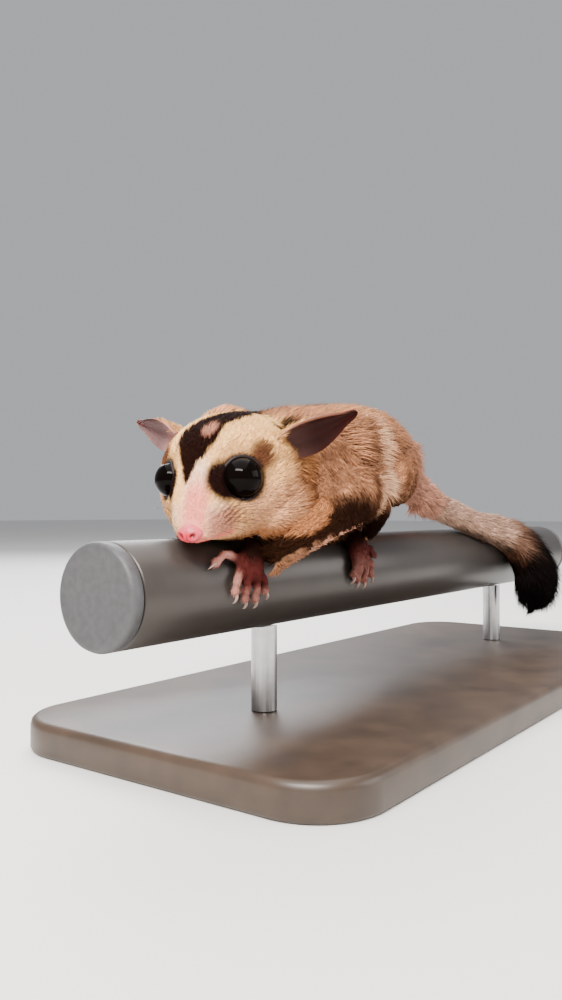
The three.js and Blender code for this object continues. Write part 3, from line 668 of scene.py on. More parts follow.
CREAM = linear(252, 200, 152)
CHEEK = linear(208, 163, 132)
CHEEK_BACK = linear(142, 98, 73)
MUZZLE = linear(194, 130, 117)
BRIDGE_PALE_AND_HIGHLIGHT = linear(254, 216, 188)
PINK = linear(230, 126, 120)
WHITE = linear(230, 206, 192)
STRIPE = linear(24, 8, 3)
STRIPE_LIGHT = linear(176, 130, 114)
EYE_RIM = linear(20, 9, 8)
EYE_CORNER = linear(24, 9, 7)
BROWN = linear(88, 56, 44)
BACK_DARK = linear(96, 66, 52)
BACK_MID = linear(156, 116, 94)
BACK_PALE_AND_HIGHLIGHT = linear(211, 160, 128)
THROAT = linear(170, 121, 92)
HAUNCH = linear(152, 116, 98)
RUMP = linear(184, 142, 126)
STRIP = linear(214, 178, 152)
CREASE_SHADE = linear(60, 38, 28)
MEMBRANE = linear(23, 9, 5)
FRINGE = linear(140, 104, 84)
FRINGE_EDGE = linear(196, 152, 132)
TAIL_TOP = linear(186, 158, 142)
TAIL_BLACK_AND_SHADE = linear(12, 8, 7)
HAND_SHADE = linear(72, 34, 32)
FINGER = linear(186, 138, 128)
FOOT_SHADE = linear(25, 10, 7)
NOSE_RED = linear(196, 52, 70)
NOSTRIL_SHADE = linear(92, 14, 22)
# The two ears are painted as lit and shaded copies: the left cup in painted shade with a painted highlight on
# its upper rim, the right cup lit, with its upper rim in painted shade.
EAR_CUP_SHADED_AND_LIT = {1: linear(31, 9, 6), -1: linear(96, 80, 80)}
EAR_RIM_HIGHLIGHT_AND_SHADE = {1: linear(120, 88, 76), -1: linear(44, 34, 32)}
EAR_PINK = linear(190, 142, 136)
EAR_BACK = linear(138, 98, 84)
EAR_BACK_TIP = linear(64, 40, 34)


def over(colour, top, amount):
    """top laid over colour by an amount from 0 to 1 for each point."""
    return colour + (top - colour) * np.clip(amount, 0, 1)[:, None]


def blob(points, centre, radii, soft=0.6):
    """1 inside an ellipsoid about centre, fading to 0 outside it."""
    d = np.linalg.norm((points - centre) / radii, axis=1)
    return 1.0 - smooth(1.0 - soft / 2, 1.0 + soft / 2, d)


# The crown stripe's edges in head coordinates: forward, the right edge and the left edge.
STRIPE_EDGES = np.array([
    [-28, -2.0, 2.4], [-20, -0.8, 3.8], [-15, 0.2, 5.6], [-11, 0.2, 6.6], [-8, -2.6, 5.8], [-5.5, -5.6, 4.6],
    [-3.8, -7.3, 3.6], [-1, -6.9, 3.6], [1.5, -5.3, 2.8], [3.7, -4.0, 1.9], [4.7, -3.3, 0.6], [6, -2.5, 0.2],
    [7.4, -1.6, -0.2], [8.6, -0.9, -0.8],
])


def head_colours(points, colour):
    """The face: cream with a dark crown stripe, brown about the eyes, dark eye corners and rims, a pink bridge,
    pale along its ridge with a painted highlight, a pale muzzle with brown streaks on its pads, and tan cheeks."""
    q = to_head(points)
    f, l, u = q.T
    n = waves(points, 5.0, 3)
    face = np.broadcast_to(CREAM, points.shape).copy()
    face = over(face, CHEEK, smooth(1, -5, u) * smooth(6, 0, f))
    face = over(face, CHEEK_BACK, smooth(-4, -13, f + 2 * n) * smooth(7, 1, u) * 0.9)
    face = over(face, THROAT, smooth(-9, -13, u) * smooth(4, -4, f))
    bend = l - snout_line(f)
    # The bridge's pale fur, with a painted highlight along the ridge.
    face = over(face, BRIDGE_PALE_AND_HIGHLIGHT, smooth(3.5, 1.5, np.abs(bend)) * smooth(2, 6, f))
    face = over(face, PINK, smooth(4.0, 1.2, np.abs(bend - 0.6)) * smooth(5.0, 10.5, f) * 0.75)
    face = over(face, WHITE, smooth(2.2, 3.6, np.abs(bend)) * smooth(5, 9, f) * smooth(-2, -5, u) * 0.5)
    face = over(face, MUZZLE, smooth(2.4, 4.2, bend) * smooth(3, 7, f) * smooth(-3.5, -6, u) * 0.7)
    face = over(face, PINK, smooth(-9.0, -10.4, u) * smooth(3, 7, f) * 0.7)
    streak = 0.5 + 0.5 * np.sin(6.0 * (u + 0.45 * f) + 2.0 * waves(points, 3, 8))
    for s in (1, -1):
        pad = blob(q, [7.2, s * 7.4 + 0.8, -6.3], [5.2, 3.6, 2.5], 1.4)
        face = over(face, BROWN, pad * (0.12 + 0.84 * streak**2))
    right, left = [np.interp(f, STRIPE_EDGES[:, 0], STRIPE_EDGES[:, i]) for i in (1, 2)]
    edge = np.minimum(l - right, left - l)
    stripe = smooth(-0.25, 0.65, edge + 0.3 * waves(points, 2.2, 5)) * smooth(-1, 0.5, u) * (f < 8.6)
    face = over(face, STRIPE, stripe)
    face = over(face, STRIPE_LIGHT, blob(q, [-2.2, 0.5, 10.2], [2.4, 1.6, 2.0], 0.8) * 0.85)
    for s, (eye, radius) in EYES.items():
        face = over(face, BROWN, blob(q, np.add(eye, [0.4, 0, 0.8]), np.full(3, radius + 1.5), 0.5) * 0.5)
        face = over(face, BROWN * 0.8, blob(q, [-3.3, s * 12.1, 4.3], [2.7, 2.8, 3.6], 1.0) * 0.97)
        corner = [4.1, 3.2, 5.0] if s > 0 else [3.0, 2.0, 4.0]
        face = over(face, EYE_CORNER, blob(q, np.add(eye, [5.0, -s * 2.4, 0.1]), corner, 0.5))
        face = over(face, EYE_RIM, blob(q, np.add(eye, [0.3, 0, 0]), np.full(3, radius + 0.75), 0.2))
    return over(colour, face, smooth(-25, -19, f))


# How high the membrane's dark fur and the painted shade of the lower flank reach: places x, and z at each.
DARK_FOLD_LINE = (
    [-95, -90, -88, -86, -83, -80, -78, -75, -70, -64, -50],
    [16, 14, 12, 11.8, 12.6, 15, 19.5, 21.5, 22, 20, 17],
)
# The crease behind the shoulder, where painted shade lies: heights z, and x at each.
FLANK_CREASE = ([10, 17, 24, 34, 42], [-67.5, -66.4, -63.8, -57.2, -52])
# The middle of the tail's near face, below which painted shade darkens the underside: places x, and z at each.
TAIL_MIDDLE = ([10, 20, 30, 40, 50, 60, 70], [22, 18, 15, 11.6, 9.4, 4, -4])


def body_colours(points):
    """The body: mottled brown with pale clumps, a dark line down the back, a painted highlight along the top of
    the back and on the far shoulder, a grey-brown haunch, a paler rump and a tan underside."""
    x, y, z = points.T
    clump = waves(points * [1.0, 1.0, 0.8], 7.0, 1) * 0.7 + waves(points, 3.0, 2) * 0.5
    body = np.broadcast_to(BACK_MID, points.shape).copy()
    body = over(body, BACK_DARK, smooth(0.0, 1.0, clump) * 0.75)
    body = over(body, BACK_PALE_AND_HIGHLIGHT, smooth(0.1, 0.95, -clump) * 0.7)
    # Painted highlight: the top of the back and the far shoulder are made paler, as where light falls from
    # above.
    body = over(body, BACK_PALE_AND_HIGHLIGHT, smooth(35, 44, z) * smooth(3, 8, np.abs(y)) * 0.6)
    body = over(body, BACK_PALE_AND_HIGHLIGHT, blob(points, [-72, 13, 43], [13, 9, 7], 0.8) * 0.7)
    body = over(body, HAUNCH, smooth(-44, -34, x) * 0.8)
    body = over(body, RUMP, smooth(-30, -12, x) * 0.75)
    middle = 0.8 * np.sin(x / 17.0)
    line = 1.0 - smooth(1.6, 3.8, np.abs(y - middle) + 0.5 * waves(points, 4, 6))
    line = line * smooth(34, 39, z) * smooth(6, -10, x)
    body = over(body, BACK_DARK * 0.7, line * 0.9)
    return over(body, THROAT, smooth(17, 12.5, z) * smooth(16, 10, np.abs(y)) * 0.9)


def flank_marks(points, colour):
    """The fold from wrist to knee: tan in front, dark membrane fur with painted shade on the lower flank under
    a rising line, then painted shade in the crease behind the shoulder, with a pale strip behind it."""
    x, y, z = points.T
    side = smooth(8.5, 12.5, np.abs(y))
    line = np.interp(x, *DARK_FOLD_LINE)
    soft = 0.8 + 1.6 * smooth(-80, -76, x)
    # Under the line: the membrane's dark fur, carried up the lower flank as painted shade.
    below = smooth(line + soft, line - soft, z + 0.5 * waves(points, 3, 14)) * smooth(-44, -48, x)
    chest = smooth(-75.5, -79.5, x) * side * smooth(27, 20, z) * smooth(-100, -94, x)
    colour = over(colour, THROAT, chest * 0.95)
    colour = over(colour, MEMBRANE, below * side * 0.97)
    gap = x - np.interp(z, *FLANK_CREASE)
    gap = gap + 0.5 * waves(points, 5, 17)
    high = smooth(45, 37, z) * side
    strip = smooth(1.0, 2.6, gap) * smooth(9.0, 5.5, gap) * high * smooth(14, 19, z)
    colour = over(colour, STRIP, strip * 0.85)
    # Painted shade in the crease behind the shoulder.
    return over(colour, CREASE_SHADE, np.exp(-((gap / 1.3) ** 2)) * high * 0.85)


def marking(points, part):
    """Every place's coat colour, from its position and part alone, shared by the skin and the coat."""
    x, y, z = points.T
    colour = flank_marks(points, body_colours(points))
    limb, flap, tail = part == IN_LIMB, part == IN_MEMBRANE, part == IN_TAIL
    # The lower shank is painted near black as shade under the body.
    shank = limb & (x > -56) & (x < -38) & (z < 23)
    colour = over(colour, FOOT_SHADE, shank * smooth(21.5, 17, z) * 0.95)
    for _, outer in MEMBRANES.values():
        here = flap & (np.sign(y) == np.sign(outer[0][1]))
        if here.any():
            edge = through(outer, np.linspace(0, 0.97, 60))
            gap = np.full(len(points), FAR_OFF)
            gap[here] = np.linalg.norm(points[here][:, None] - edge[None], axis=-1).min(1)
            band = 0.4 + 1.7 * smooth(-74, -88, x)
            colour = over(colour, FRINGE, smooth(1.35, 0.75, gap / band) * smooth(-66, -74, x) * 0.97)
    colour = over(colour, TAIL_TOP, tail * smooth(4, 20, x) * 0.9)
    clump = waves(points, 4.0, 19)
    colour = over(colour, BROWN, tail * smooth(0.2, 1.0, clump) * smooth(60, 40, x) * 0.4)
    centre = np.interp(x, *TAIL_MIDDLE)
    # Painted shade: the tail's underside below its middle is made near black.
    colour = over(colour, TAIL_BLACK_AND_SHADE, tail * smooth(-1.6, -3.6, z - centre) * smooth(16, 28, x) * 0.95)
    along = x + 0.3 * (8 - z) + 2.5 * waves(points, 5, 9)
    colour = over(colour, BACK_DARK, tail * smooth(44, 54, along) * 0.8)
    colour = over(colour, TAIL_BLACK_AND_SHADE, tail * smooth(50, 61, along))
    turn = np.degrees(np.arctan2(np.abs(y), z))
    front, hind = (part == IN_HAND), (part == IN_FOOT)
    wrist = front * smooth(74, 60, turn) * smooth(-96, -94, x)
    # The hand's pink is painted dark as shade, with the forward fingers and the lower side left a paler lit
    # pink.
    paw = over(np.broadcast_to(HAND_SHADE, points.shape), MEMBRANE, wrist * 0.95)
    paw = over(paw, FINGER, front * np.maximum(smooth(-96.5, -99.5, x), 0.55 * smooth(84, 96, turn)))
    # The top of the hind foot, under the body, is painted dark as shade.
    paw = over(paw, FOOT_SHADE, hind * smooth(64, 50, turn) * 0.9)
    paw = over(paw, FINGER, hind * smooth(58, 92, turn) * 0.5)
    colour = np.where((front | hind)[:, None], paw, colour)
    q = to_head(points)
    on_neck = (part == IN_TRUNK) & (q[:, 0] > -27) & (q[:, 0] < 16)
    colour = over(colour, head_colours(points, colour), np.where(part == IN_HEAD, 1.0, on_neck))
    for side in (1, -1):
        ear_root, nape = [-17.6, side * 11.0, 8.4], [-79.6, -3.5 - side * 8.6, 36.4]
        colour = over(colour, EYE_CORNER, blob(q, ear_root, [4.4, 2.1, 2.8], 0.5) * 0.95)
        colour = over(colour, EYE_CORNER, blob(points, nape, [3.2, 2.6, 3.0], 0.6) * 0.95)
    return colour


PAINT = "Coat"


def paint(piece, colours):
    """Colours for each point, kept as the piece's own attribute."""
    layer = piece.data.color_attributes.new(PAINT, "FLOAT_COLOR", "POINT")
    rgba = np.ones((len(colours), 4), np.float32)
    rgba[:, :3] = np.clip(colours, 0, 1)
    layer.data.foreach_set("color", rgba.ravel())


# Materials


def node_tree(name):
    """A new material, its Principled shader and its links."""
    material = bpy.data.materials.new(name)
    material.use_nodes = True
    tree = material.node_tree
    return material, tree, tree.nodes["Principled BSDF"]


def set_sockets(node, **values):
    """Constants put on a node's own sockets. Underscores stand for spaces."""
    for key, value in values.items():
        node.inputs[key.replace("_", " ")].default_value = value


def noise_bump(tree, shader, scale, strength, distance, detail=3.0):
    """Noise on Object coordinates as a bump, scale in cells a metre."""
    place = tree.nodes.new("ShaderNodeTexCoord")
    noise = tree.nodes.new("ShaderNodeTexNoise")
    set_sockets(noise, Scale=scale, Detail=detail)
    bump = tree.nodes.new("ShaderNodeBump")
    set_sockets(bump, Strength=strength, Distance=distance)
    tree.links.new(place.outputs["Object"], noise.inputs["Vector"])
    tree.links.new(noise.outputs["Fac"], bump.inputs["Height"])
    tree.links.new(bump.outputs["Normal"], shader.inputs["Normal"])
    return noise


def mottled(tree, shader, noise, source, low, high):
    """The colour from source made darker and lighter by a noise, between two factors."""
    ramp = tree.nodes.new("ShaderNodeMapRange")
    set_sockets(ramp, From_Min=0.3, From_Max=0.7, To_Min=low, To_Max=high)
    scale = tree.nodes.new("ShaderNodeVectorMath")
    scale.operation = "SCALE"
    tree.links.new(noise.outputs["Fac"], ramp.inputs["Value"])
    tree.links.new(source, scale.inputs[0])
    tree.links.new(ramp.outputs["Result"], scale.inputs["Scale"])
    tree.links.new(scale.outputs["Vector"], shader.inputs["Base Color"])


def painted_colour(tree):
    """The colour painted on the piece's points, as a node's output."""
    attribute = tree.nodes.new("ShaderNodeAttribute")
    attribute.attribute_name = PAINT
    return attribute.outputs["Color"]


def coat_material(name):
    """Hair: the painted colour with fine light and dark hairs and a weak shine."""
    material, tree, shader = node_tree(name)
    set_sockets(shader, Roughness=0.85, Specular_IOR_Level=0.04)
    noise = noise_bump(tree, shader, 1400.0, 0.25, 0.0003)
    mottled(tree, shader, noise, painted_colour(tree), 0.82, 1.18)
    return material


def skin_material(name, roughness, subsurface, shine):
    """Bare skin: the painted colour, blotched, with fine creases and light that sinks in."""
    material, tree, shader = node_tree(name)
    set_sockets(shader, Roughness=roughness, Specular_IOR_Level=shine)
    set_sockets(shader, Subsurface_Weight=subsurface, Subsurface_Scale=0.002)
    set_sockets(shader, Subsurface_Radius=(1.0, 0.35, 0.2))
    noise = noise_bump(tree, shader, 2200.0, 0.35, 0.0002, 4.0)
    mottled(tree, shader, noise, painted_colour(tree), 0.88, 1.1)
    return material


def plain_material(name, colour, roughness, scale, bump, low, high, **sockets):
    """One colour varied by a noise on Object coordinates, with a matching bump."""
    material, tree, shader = node_tree(name)
    set_sockets(shader, Roughness=roughness, **sockets)
    rgb = tree.nodes.new("ShaderNodeRGB")
    rgb.outputs[0].default_value = (*colour, 1.0)
    noise = noise_bump(tree, shader, scale, bump, 0.0003)
    mottled(tree, shader, noise, rgb.outputs[0], low, high)
    return material


# Tufts


# A tuft is a blade of three sides and two rings of points, drawn in to a point and closed at its root.
TUFT_RINGS = 2
TUFT_SIDES = 3
TUFT_TAPER = np.array([1.0, 0.74])
TUFT_FACES = 10
PIECE_FACES = 180000
# Each tuft's patch on the piece's UV map, and how much the map is drawn in to leave room for it.
UV_PATCH = 0.003
UV_ROOM = 0.996


def skin_samples(piece, count, density, rng):
    """Roots picked at random over the piece's triangles, each as likely as its area times the density there."""
    piece.data.calc_loop_triangles()
    tris = np.empty(len(piece.data.loop_triangles) * 3, np.int32)
    piece.data.loop_triangles.foreach_get("vertices", tris)
    tris = tris.reshape(-1, 3)
    points, normals = points_of(piece), normals_of(piece)
    corner = points[tris]
    area = np.linalg.norm(np.cross(corner[:, 1] - corner[:, 0], corner[:, 2] - corner[:, 0]), axis=1) / 2
    middle = corner.mean(1)
    weight = area * density(middle, unit(normals[tris].mean(1)))
    pick = rng.choice(len(tris), count, p=weight / weight.sum())
    a, b = rng.random(count), rng.random(count)
    flip = a + b > 1
    a, b = np.where(flip, 1 - a, a), np.where(flip, 1 - b, b)
    bary = np.stack([1 - a - b, a, b], -1)[..., None]
    return (corner[pick] * bary).sum(1), unit((normals[tris[pick]] * bary).sum(1))


def tuft_faces():
    """One tuft's triangles: two for each side between rings, three to the point and one across the root."""
    faces = []
    for ring in range(TUFT_RINGS - 1):
        below, above = ring * TUFT_SIDES, (ring + 1) * TUFT_SIDES
        for k in range(TUFT_SIDES):
            n = (k + 1) % TUFT_SIDES
            faces += [[below + k, below + n, above + n], [below + k, above + n, above + k]]
    last = (TUFT_RINGS - 1) * TUFT_SIDES
    faces += [[last + k, last + (k + 1) % TUFT_SIDES, last + TUFT_SIDES] for k in range(TUFT_SIDES)]
    faces += [[2, 1, 0]]
    return np.array(faces)[:, ::-1]


def tuft_mesh(name, root, normal, lie, length, width, lift, curl, colours, tips, unwrap, rng):
    """Tufts as three-sided tapered blades. Each axis leaves the skin at the lift, bends back by the curl,
    and narrows to a point: place = root + lie*s*length + normal*length*(lift*s - curl*s^2)."""
    sunk, sway_spread, flatness = 0.06, 0.10, 0.45
    lie = unit(lie - normal * (lie * normal).sum(1, keepdims=True))
    side = np.cross(lie, normal)
    count = len(root)
    s = np.linspace(0, 1, TUFT_RINGS + 1)
    rise = (lift[:, None] * s - curl[:, None] * s**2 - sunk * (s == 0)) * length[:, None]
    sway = rng.normal(0, sway_spread, (count, 1)) * s**2 * length[:, None]
    axis = (
        root[:, None]
        + lie[:, None] * (s * length[:, None])[..., None]
        + normal[:, None] * rise[..., None]
        + side[:, None] * sway[..., None]
    )
    across = side[:, None] * (width[:, None] * TUFT_TAPER)[..., None]
    thick = normal[:, None] * (flatness * width[:, None] * TUFT_TAPER)[..., None]
    base = axis[:, :TUFT_RINGS]
    rings = np.stack([base - across - thick * 0.5, base + across - thick * 0.5, base + thick], 2)
    points = np.concatenate([rings.reshape(count, -1, 3), axis[:, TUFT_RINGS:]], 1)
    each = points.shape[1]
    points = off_rail(points.reshape(-1, 3))
    faces = (np.arange(count)[:, None, None] * each + tuft_faces()[None]).reshape(-1, 3)
    piece = make_mesh(name, points, [faces])
    step = np.concatenate([np.repeat(s[:TUFT_RINGS], TUFT_SIDES), [1.0]])
    shade = colours[:, None] + (tips - colours)[:, None] * step[None, :, None]
    paint(piece, shade.reshape(-1, 3))
    local = UV_PATCH * np.column_stack([np.concatenate([np.tile([0, 1, 0.5], TUFT_RINGS), [0.5]]), step])
    spread = (unwrap(root)[:, None] * UV_ROOM + local[None]).reshape(-1, 2)
    layer = piece.data.uv_layers.new(name="OFBake")
    loops = np.empty(len(piece.data.loops), np.int32)
    piece.data.loops.foreach_get("vertex_index", loops)
    layer.data.foreach_set("uv", spread[loops].astype(np.float32).ravel())
    return piece


def grow(name, slot, material, unwrap, rng, *fields):
    """Makes tufts in pieces of about 180,000 faces at most, the roots shared out at random."""
    count = len(fields[0])
    share = rng.integers(0, -(-count * TUFT_FACES // PIECE_FACES), count)
    for i in range(share.max() + 1):
        piece = tuft_mesh(f"{name}_{i + 1}", *[f[share == i] for f in fields], unwrap, rng)
        finish_piece(piece, material, slot)


def clump_tint(group, spread, seed):
    """A random shade that the tufts of one clump share."""
    return spread * np.random.default_rng(seed).normal(size=len(group))[group]


def unwrap_about(axis_at, axis_way, low, high):
    """A map of places to (angle about an axis, distance along it), both from 0 to 1."""
    way = unit(np.asarray(axis_way, float))
    one = unit(np.cross(way, [0.0, 0.3, 1.0]))
    two = np.cross(way, one)

    def unwrap(points):
        d = points - np.asarray(axis_at, float)
        angle = np.arctan2(d @ two, d @ one) / (2 * np.pi) + 0.5
        return np.column_stack([angle, np.clip((d @ way - low) / (high - low), 0, 1)])

    return unwrap


def clumped(root, lie, every, pull, rng):
    """Turns each tuft's lie towards the nearest of a scattering of clump middles. The roots are taken in
    batches along X, each set against the middles within reach of it."""
    batch, reach = 4000, 6
    centres = root[rng.choice(len(root), max(4, len(root) // every), replace=False)]
    centres = centres[np.argsort(centres[:, 0])]
    nearest = np.empty(len(root), int)
    sort = np.argsort(root[:, 0])
    for start in range(0, len(root), batch):
        rows = sort[start : start + batch]
        p = root[rows]
        a, b = np.searchsorted(centres[:, 0], [p[:, 0].min() - reach, p[:, 0].max() + reach])
        b = max(b, a + 1)
        gap = ((p[:, None] - centres[None, a:b]) ** 2).sum(-1)
        nearest[rows] = a + gap.argmin(1)
    return unit(lie + (centres[nearest] - root) * pull), nearest


# Settings


class GliderBody(bpy.types.PropertyGroup):
    """Sizes of the skin and the coat."""

    voxel: FloatProperty(
        name="Skin cell", description="Size of the skin's mesh cells", default=0.00062, unit="LENGTH"
    )
    body_hair: FloatProperty(
        name="Body hair", description="Length of a tuft on the back", default=0.0056, unit="LENGTH"
    )
    head_hair: FloatProperty(
        name="Head hair", description="Length of a tuft on the crown", default=0.0026, unit="LENGTH"
    )
    tail_hair: FloatProperty(
        name="Tail hair", description="Length of a tuft on the tail's end", default=0.0085, unit="LENGTH"
    )
    whisker: FloatProperty(
        name="Whisker", description="Length of the longest whisker", default=0.022, unit="LENGTH"
    )
    body_tufts: IntProperty(
        name="Body tufts", description="Number of tufts on the body and limbs", default=77000
    )
    head_tufts: IntProperty(name="Head tufts", description="Number of tufts on the head", default=45000)
    tail_tufts: IntProperty(name="Tail tufts", description="Number of tufts on the tail", default=18500)


class GliderColours(bpy.types.PropertyGroup):
    """Colours of the bare parts and the stand."""

    eye: FloatVectorProperty(
        name="Eye", description="Colour of the eyeball", subtype="COLOR", default=(0.002, 0.0012, 0.001)
    )
    nose: FloatVectorProperty(
        name="Nose", description="Colour of the nose pad", subtype="COLOR", default=(0.56, 0.08, 0.10)
    )
    claw: FloatVectorProperty(
        name="Claw", description="Colour of the claws", subtype="COLOR", default=(0.30, 0.20, 0.17)
    )
    rail: FloatVectorProperty(
        name="Rail", description="Colour of the rail", subtype="COLOR", default=(0.024, 0.020, 0.018)
    )
    board: FloatVectorProperty(
        name="Board", description="Colour of the stand's board", subtype="COLOR", default=(0.045, 0.028, 0.018)
    )


class GliderStage(bpy.types.PropertyGroup):
    """The floor and lights."""

    floor: FloatVectorProperty(
        name="Floor", description="Colour of the floor", subtype="COLOR", default=(0.72, 0.71, 0.69)
    )
    key_power: FloatProperty(
        name="Key light", description="Power of the main light", default=19.5, unit="POWER"
    )
    sky: FloatProperty(name="Sky", description="Strength of the light from all round", default=0.5)


PAIRED = ("upper_arm", "forearm", "hand", "thigh", "shank", "foot", "membrane")
FLESH = ["head", "neck", "chest", "rump", "tail_root", "tail_middle", "tail_brush"]
FLESH += [f"{part}_{side}" for part in PAIRED for side, _ in SIDES]
BUILT = {}
# The skin is a darker shade of the coat that grows from it.
SKIN_SHADE = 0.72


def finish_piece(piece, material, slot, *nodes):
    """Gives a piece its material and hides the nodes it stands for. The slot is not used."""
    piece.data.materials.clear()
    piece.data.materials.append(material)
    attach(piece, "root")
    if nodes:
        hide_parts(*nodes)
    BUILT[piece.name] = piece


class GLIDER_OT_skin(bpy.types.Operator):
    """Joins the body's forms into one skin, hollows the eye sockets and paints its markings."""

    bl_idname = "glider.skin"
    bl_label = "Skin"

    def execute(self, context):
        sizes = context.scene.glider_body
        parts = [trunk_form(BODY_DEPTH), head_form(HEAD_DEPTH), tail_form(TAIL_DEPTH)]
        parts += [ball(centre, np.array(radii) - BODY_DEPTH) for centre, radii in LOBES]
        parts += [ball(from_head(THROAT_FILL[0]), THROAT_FILL[1])]
        parts += [ball(centre, radii) for centre, radii in FILLS]
        parts += [tube(k, 20, 20, swell=-LIMB_DEPTH) for k in LIMBS.values()]
        parts += [membrane_form(name) for name in MEMBRANES]
        for name in HANDS:
            parts += hand_form(name)
        piece = make_mesh("skin", *joined(parts))
        remesh = piece.modifiers.new("Remesh", "REMESH")
        remesh.mode = "VOXEL"
        remesh.voxel_size = sizes.voxel
        soften = piece.modifiers.new("Soften", "SMOOTH")
        soften.factor = 0.5
        soften.iterations = 3
        applied(piece)
        points = points_of(piece)
        part, _ = belonging(points)
        points = face_folds(sockets(points), normals_of(piece))
        points = off_rail(points, 0.05)
        set_points(piece, points)
        paint(piece, marking(points, part) * SKIN_SHADE)
        finish_piece(piece, skin_material("skin", 0.75, 0.1, 0.06), "coat", *FLESH)
        return {"FINISHED"}


# The mouth's left half from corner to middle, in head coordinates without the snout's bend.
MOUTH = np.array([[3.6, 7.8, -8.6], [7.5, 6.3, -10.1], [10.4, 4.9, -10.5], [12.9, 2.9, -10.3], [14.1, 0, -9.9]])


def sockets(points):
    """Skin within a bowl about each eye slides in along the gaze to the bowl's surface, so that the eyeball
    stands clear."""
    margin, sunk = 3.5, 0.3
    q = to_head(points)
    for s, (eye, radius) in EYES.items():
        gaze = GAZE * [1, s, 1]
        bowl = radius + margin
        centre = eye + gaze * (bowl - sunk)
        d = q - centre
        along = d @ gaze
        across = d - along[:, None] * gaze
        gap = bowl**2 - (across**2).sum(1)
        inside = (gap > 0) & (np.linalg.norm(d, axis=1) < bowl)
        q = np.where(inside[:, None], centre + across - gaze * np.sqrt(np.maximum(gap, 0))[:, None], q)
    return from_head(q)


def face_folds(points, normals):
    """The mouth's crease, lips and whisker pads: small moves along the normal about places on the head."""
    q = to_head(points)
    move = np.zeros(len(q))
    t = np.linspace(0, 1, 60)
    for s in (1, -1):
        line = through(MOUTH * [1, s, 1], t)
        line[:, 1] += snout_line(line[:, 0])
        near = np.where((np.abs(q - line.mean(0)) < 9).all(1))[0]
        gap = np.linalg.norm(q[near][:, None] - line[None], axis=-1).min(1)
        move[near] -= 0.55 * np.exp(-((gap / 0.5) ** 2))
        move[near] += 0.22 * np.exp(-(((gap - 1.2) / 0.6) ** 2))
        move += 0.45 * blob(q, [10.2, s * 4.2 + SNOUT_BEND * 10, -6.8], [3.2, 2.6, 2.4], 1.6)
    return points + normals * move[:, None]


# Tufts on each membrane's edge.
FRINGE_TUFTS = 2400
# By part, trunk first and foot last: how thickly the body's coat grows, how long it is and how wide a tuft is.
BODY_DENSITY = np.array([1.0, 0.0, 0.0, 1.5, 1.6, 0.7, 0.8])
BODY_LENGTH = np.array([1.0, 0.85, 1.0, 0.42, 0.36, 0.16, 0.16])
BODY_WIDTH = np.array([0.17, 0.15, 0.17, 0.13, 0.12, 0.08, 0.09])


class GLIDER_OT_coat(bpy.types.Operator):
    """Grows the coat: tufts rooted over the skin, in the lie, length and colour of each part."""

    bl_idname = "glider.coat"
    bl_label = "Coat"

    def execute(self, context):
        sizes = context.scene.glider_body
        skin = BUILT["skin"]
        material = coat_material("coat")
        thin = 1.0
        rng = np.random.default_rng(COAT_SEED)
        body_coat(skin, material, int(sizes.body_tufts * thin), sizes.body_hair / MM, rng)
        head_coat(skin, material, int(sizes.head_tufts * thin), sizes.head_hair / MM, rng)
        tail_coat(skin, material, int(sizes.tail_tufts * thin), sizes.tail_hair / MM, rng)
        fringe_coat(material, int(FRINGE_TUFTS * thin), rng)
        return {"FINISHED"}


def body_coat(skin, material, count, hair, rng):
    """The back, flanks, limbs, membranes and paws: long and clumped on the back, short on limbs and paws."""

    def density(middle, _):
        part, _ = belonging(middle)
        nape = (part == IN_HEAD) & (to_head(middle)[:, 0] < -17)
        return np.where(nape, 1.2, BODY_DENSITY[part])

    root, normal = skin_samples(skin, count, density, rng)
    part, lie = belonging(root)
    x, y, z = root.T
    trunk = (part == IN_TRUNK) | (part == IN_HEAD)
    down = np.column_stack([0 * x, np.sign(y) * 0.15, -0.5 * np.abs(normal[:, 1])])
    lie = np.where(trunk[:, None], unit(lie * 0.4 + [1.0, 0, 0] + down), lie)
    slant = unit(np.column_stack([0.5 + 0 * x, np.sign(y) * 0.5, -0.9 + 0 * x]))
    lie = np.where((part == IN_MEMBRANE)[:, None], slant, lie)
    bend = wave_vectors(root, 9, 21)
    lie = unit(lie + 0.22 * bend * trunk[:, None] + rng.normal(0, 0.07, root.shape))
    lie, group = clumped(root, lie, 22, 0.13, rng)
    ruff = blob(root, [-82, -2, 30], [9, 30, 30], 1.0)
    length = hair * BODY_LENGTH[part] * rng.uniform(0.75, 1.2, count) * (1 - 0.3 * ruff)
    width = BODY_WIDTH[part] * rng.uniform(0.7, 1.35, count)
    length = np.where((z < 16) & trunk, length * 0.5, length)
    shoulder = blob(root, [-72, 12, 42], [14, 10, 9], 0.8)
    length = length * (1 - 0.3 * shoulder)
    lift = np.where(trunk, 0.46, 0.3) * rng.uniform(0.6, 1.3, count) * (1 - 0.5 * shoulder)
    tint = 1.0 + clump_tint(group, 0.13, BODY_TINT_SEED) * trunk + rng.normal(0, 0.12, count)
    colour = marking(root, part) * np.clip(tint, 0.45, 1.7)[:, None]
    tips = colour * np.where(trunk, 1.22, 1.1)[:, None]
    unwrap = unwrap_about([-30, 0, 28], [1, 0, 0], -90, 60)
    fields = (root, normal, lie, length, width, lift, lift * 0.3, colour * 0.72, tips)
    grow("coat_body", "coat", material, unwrap, rng, *fields)


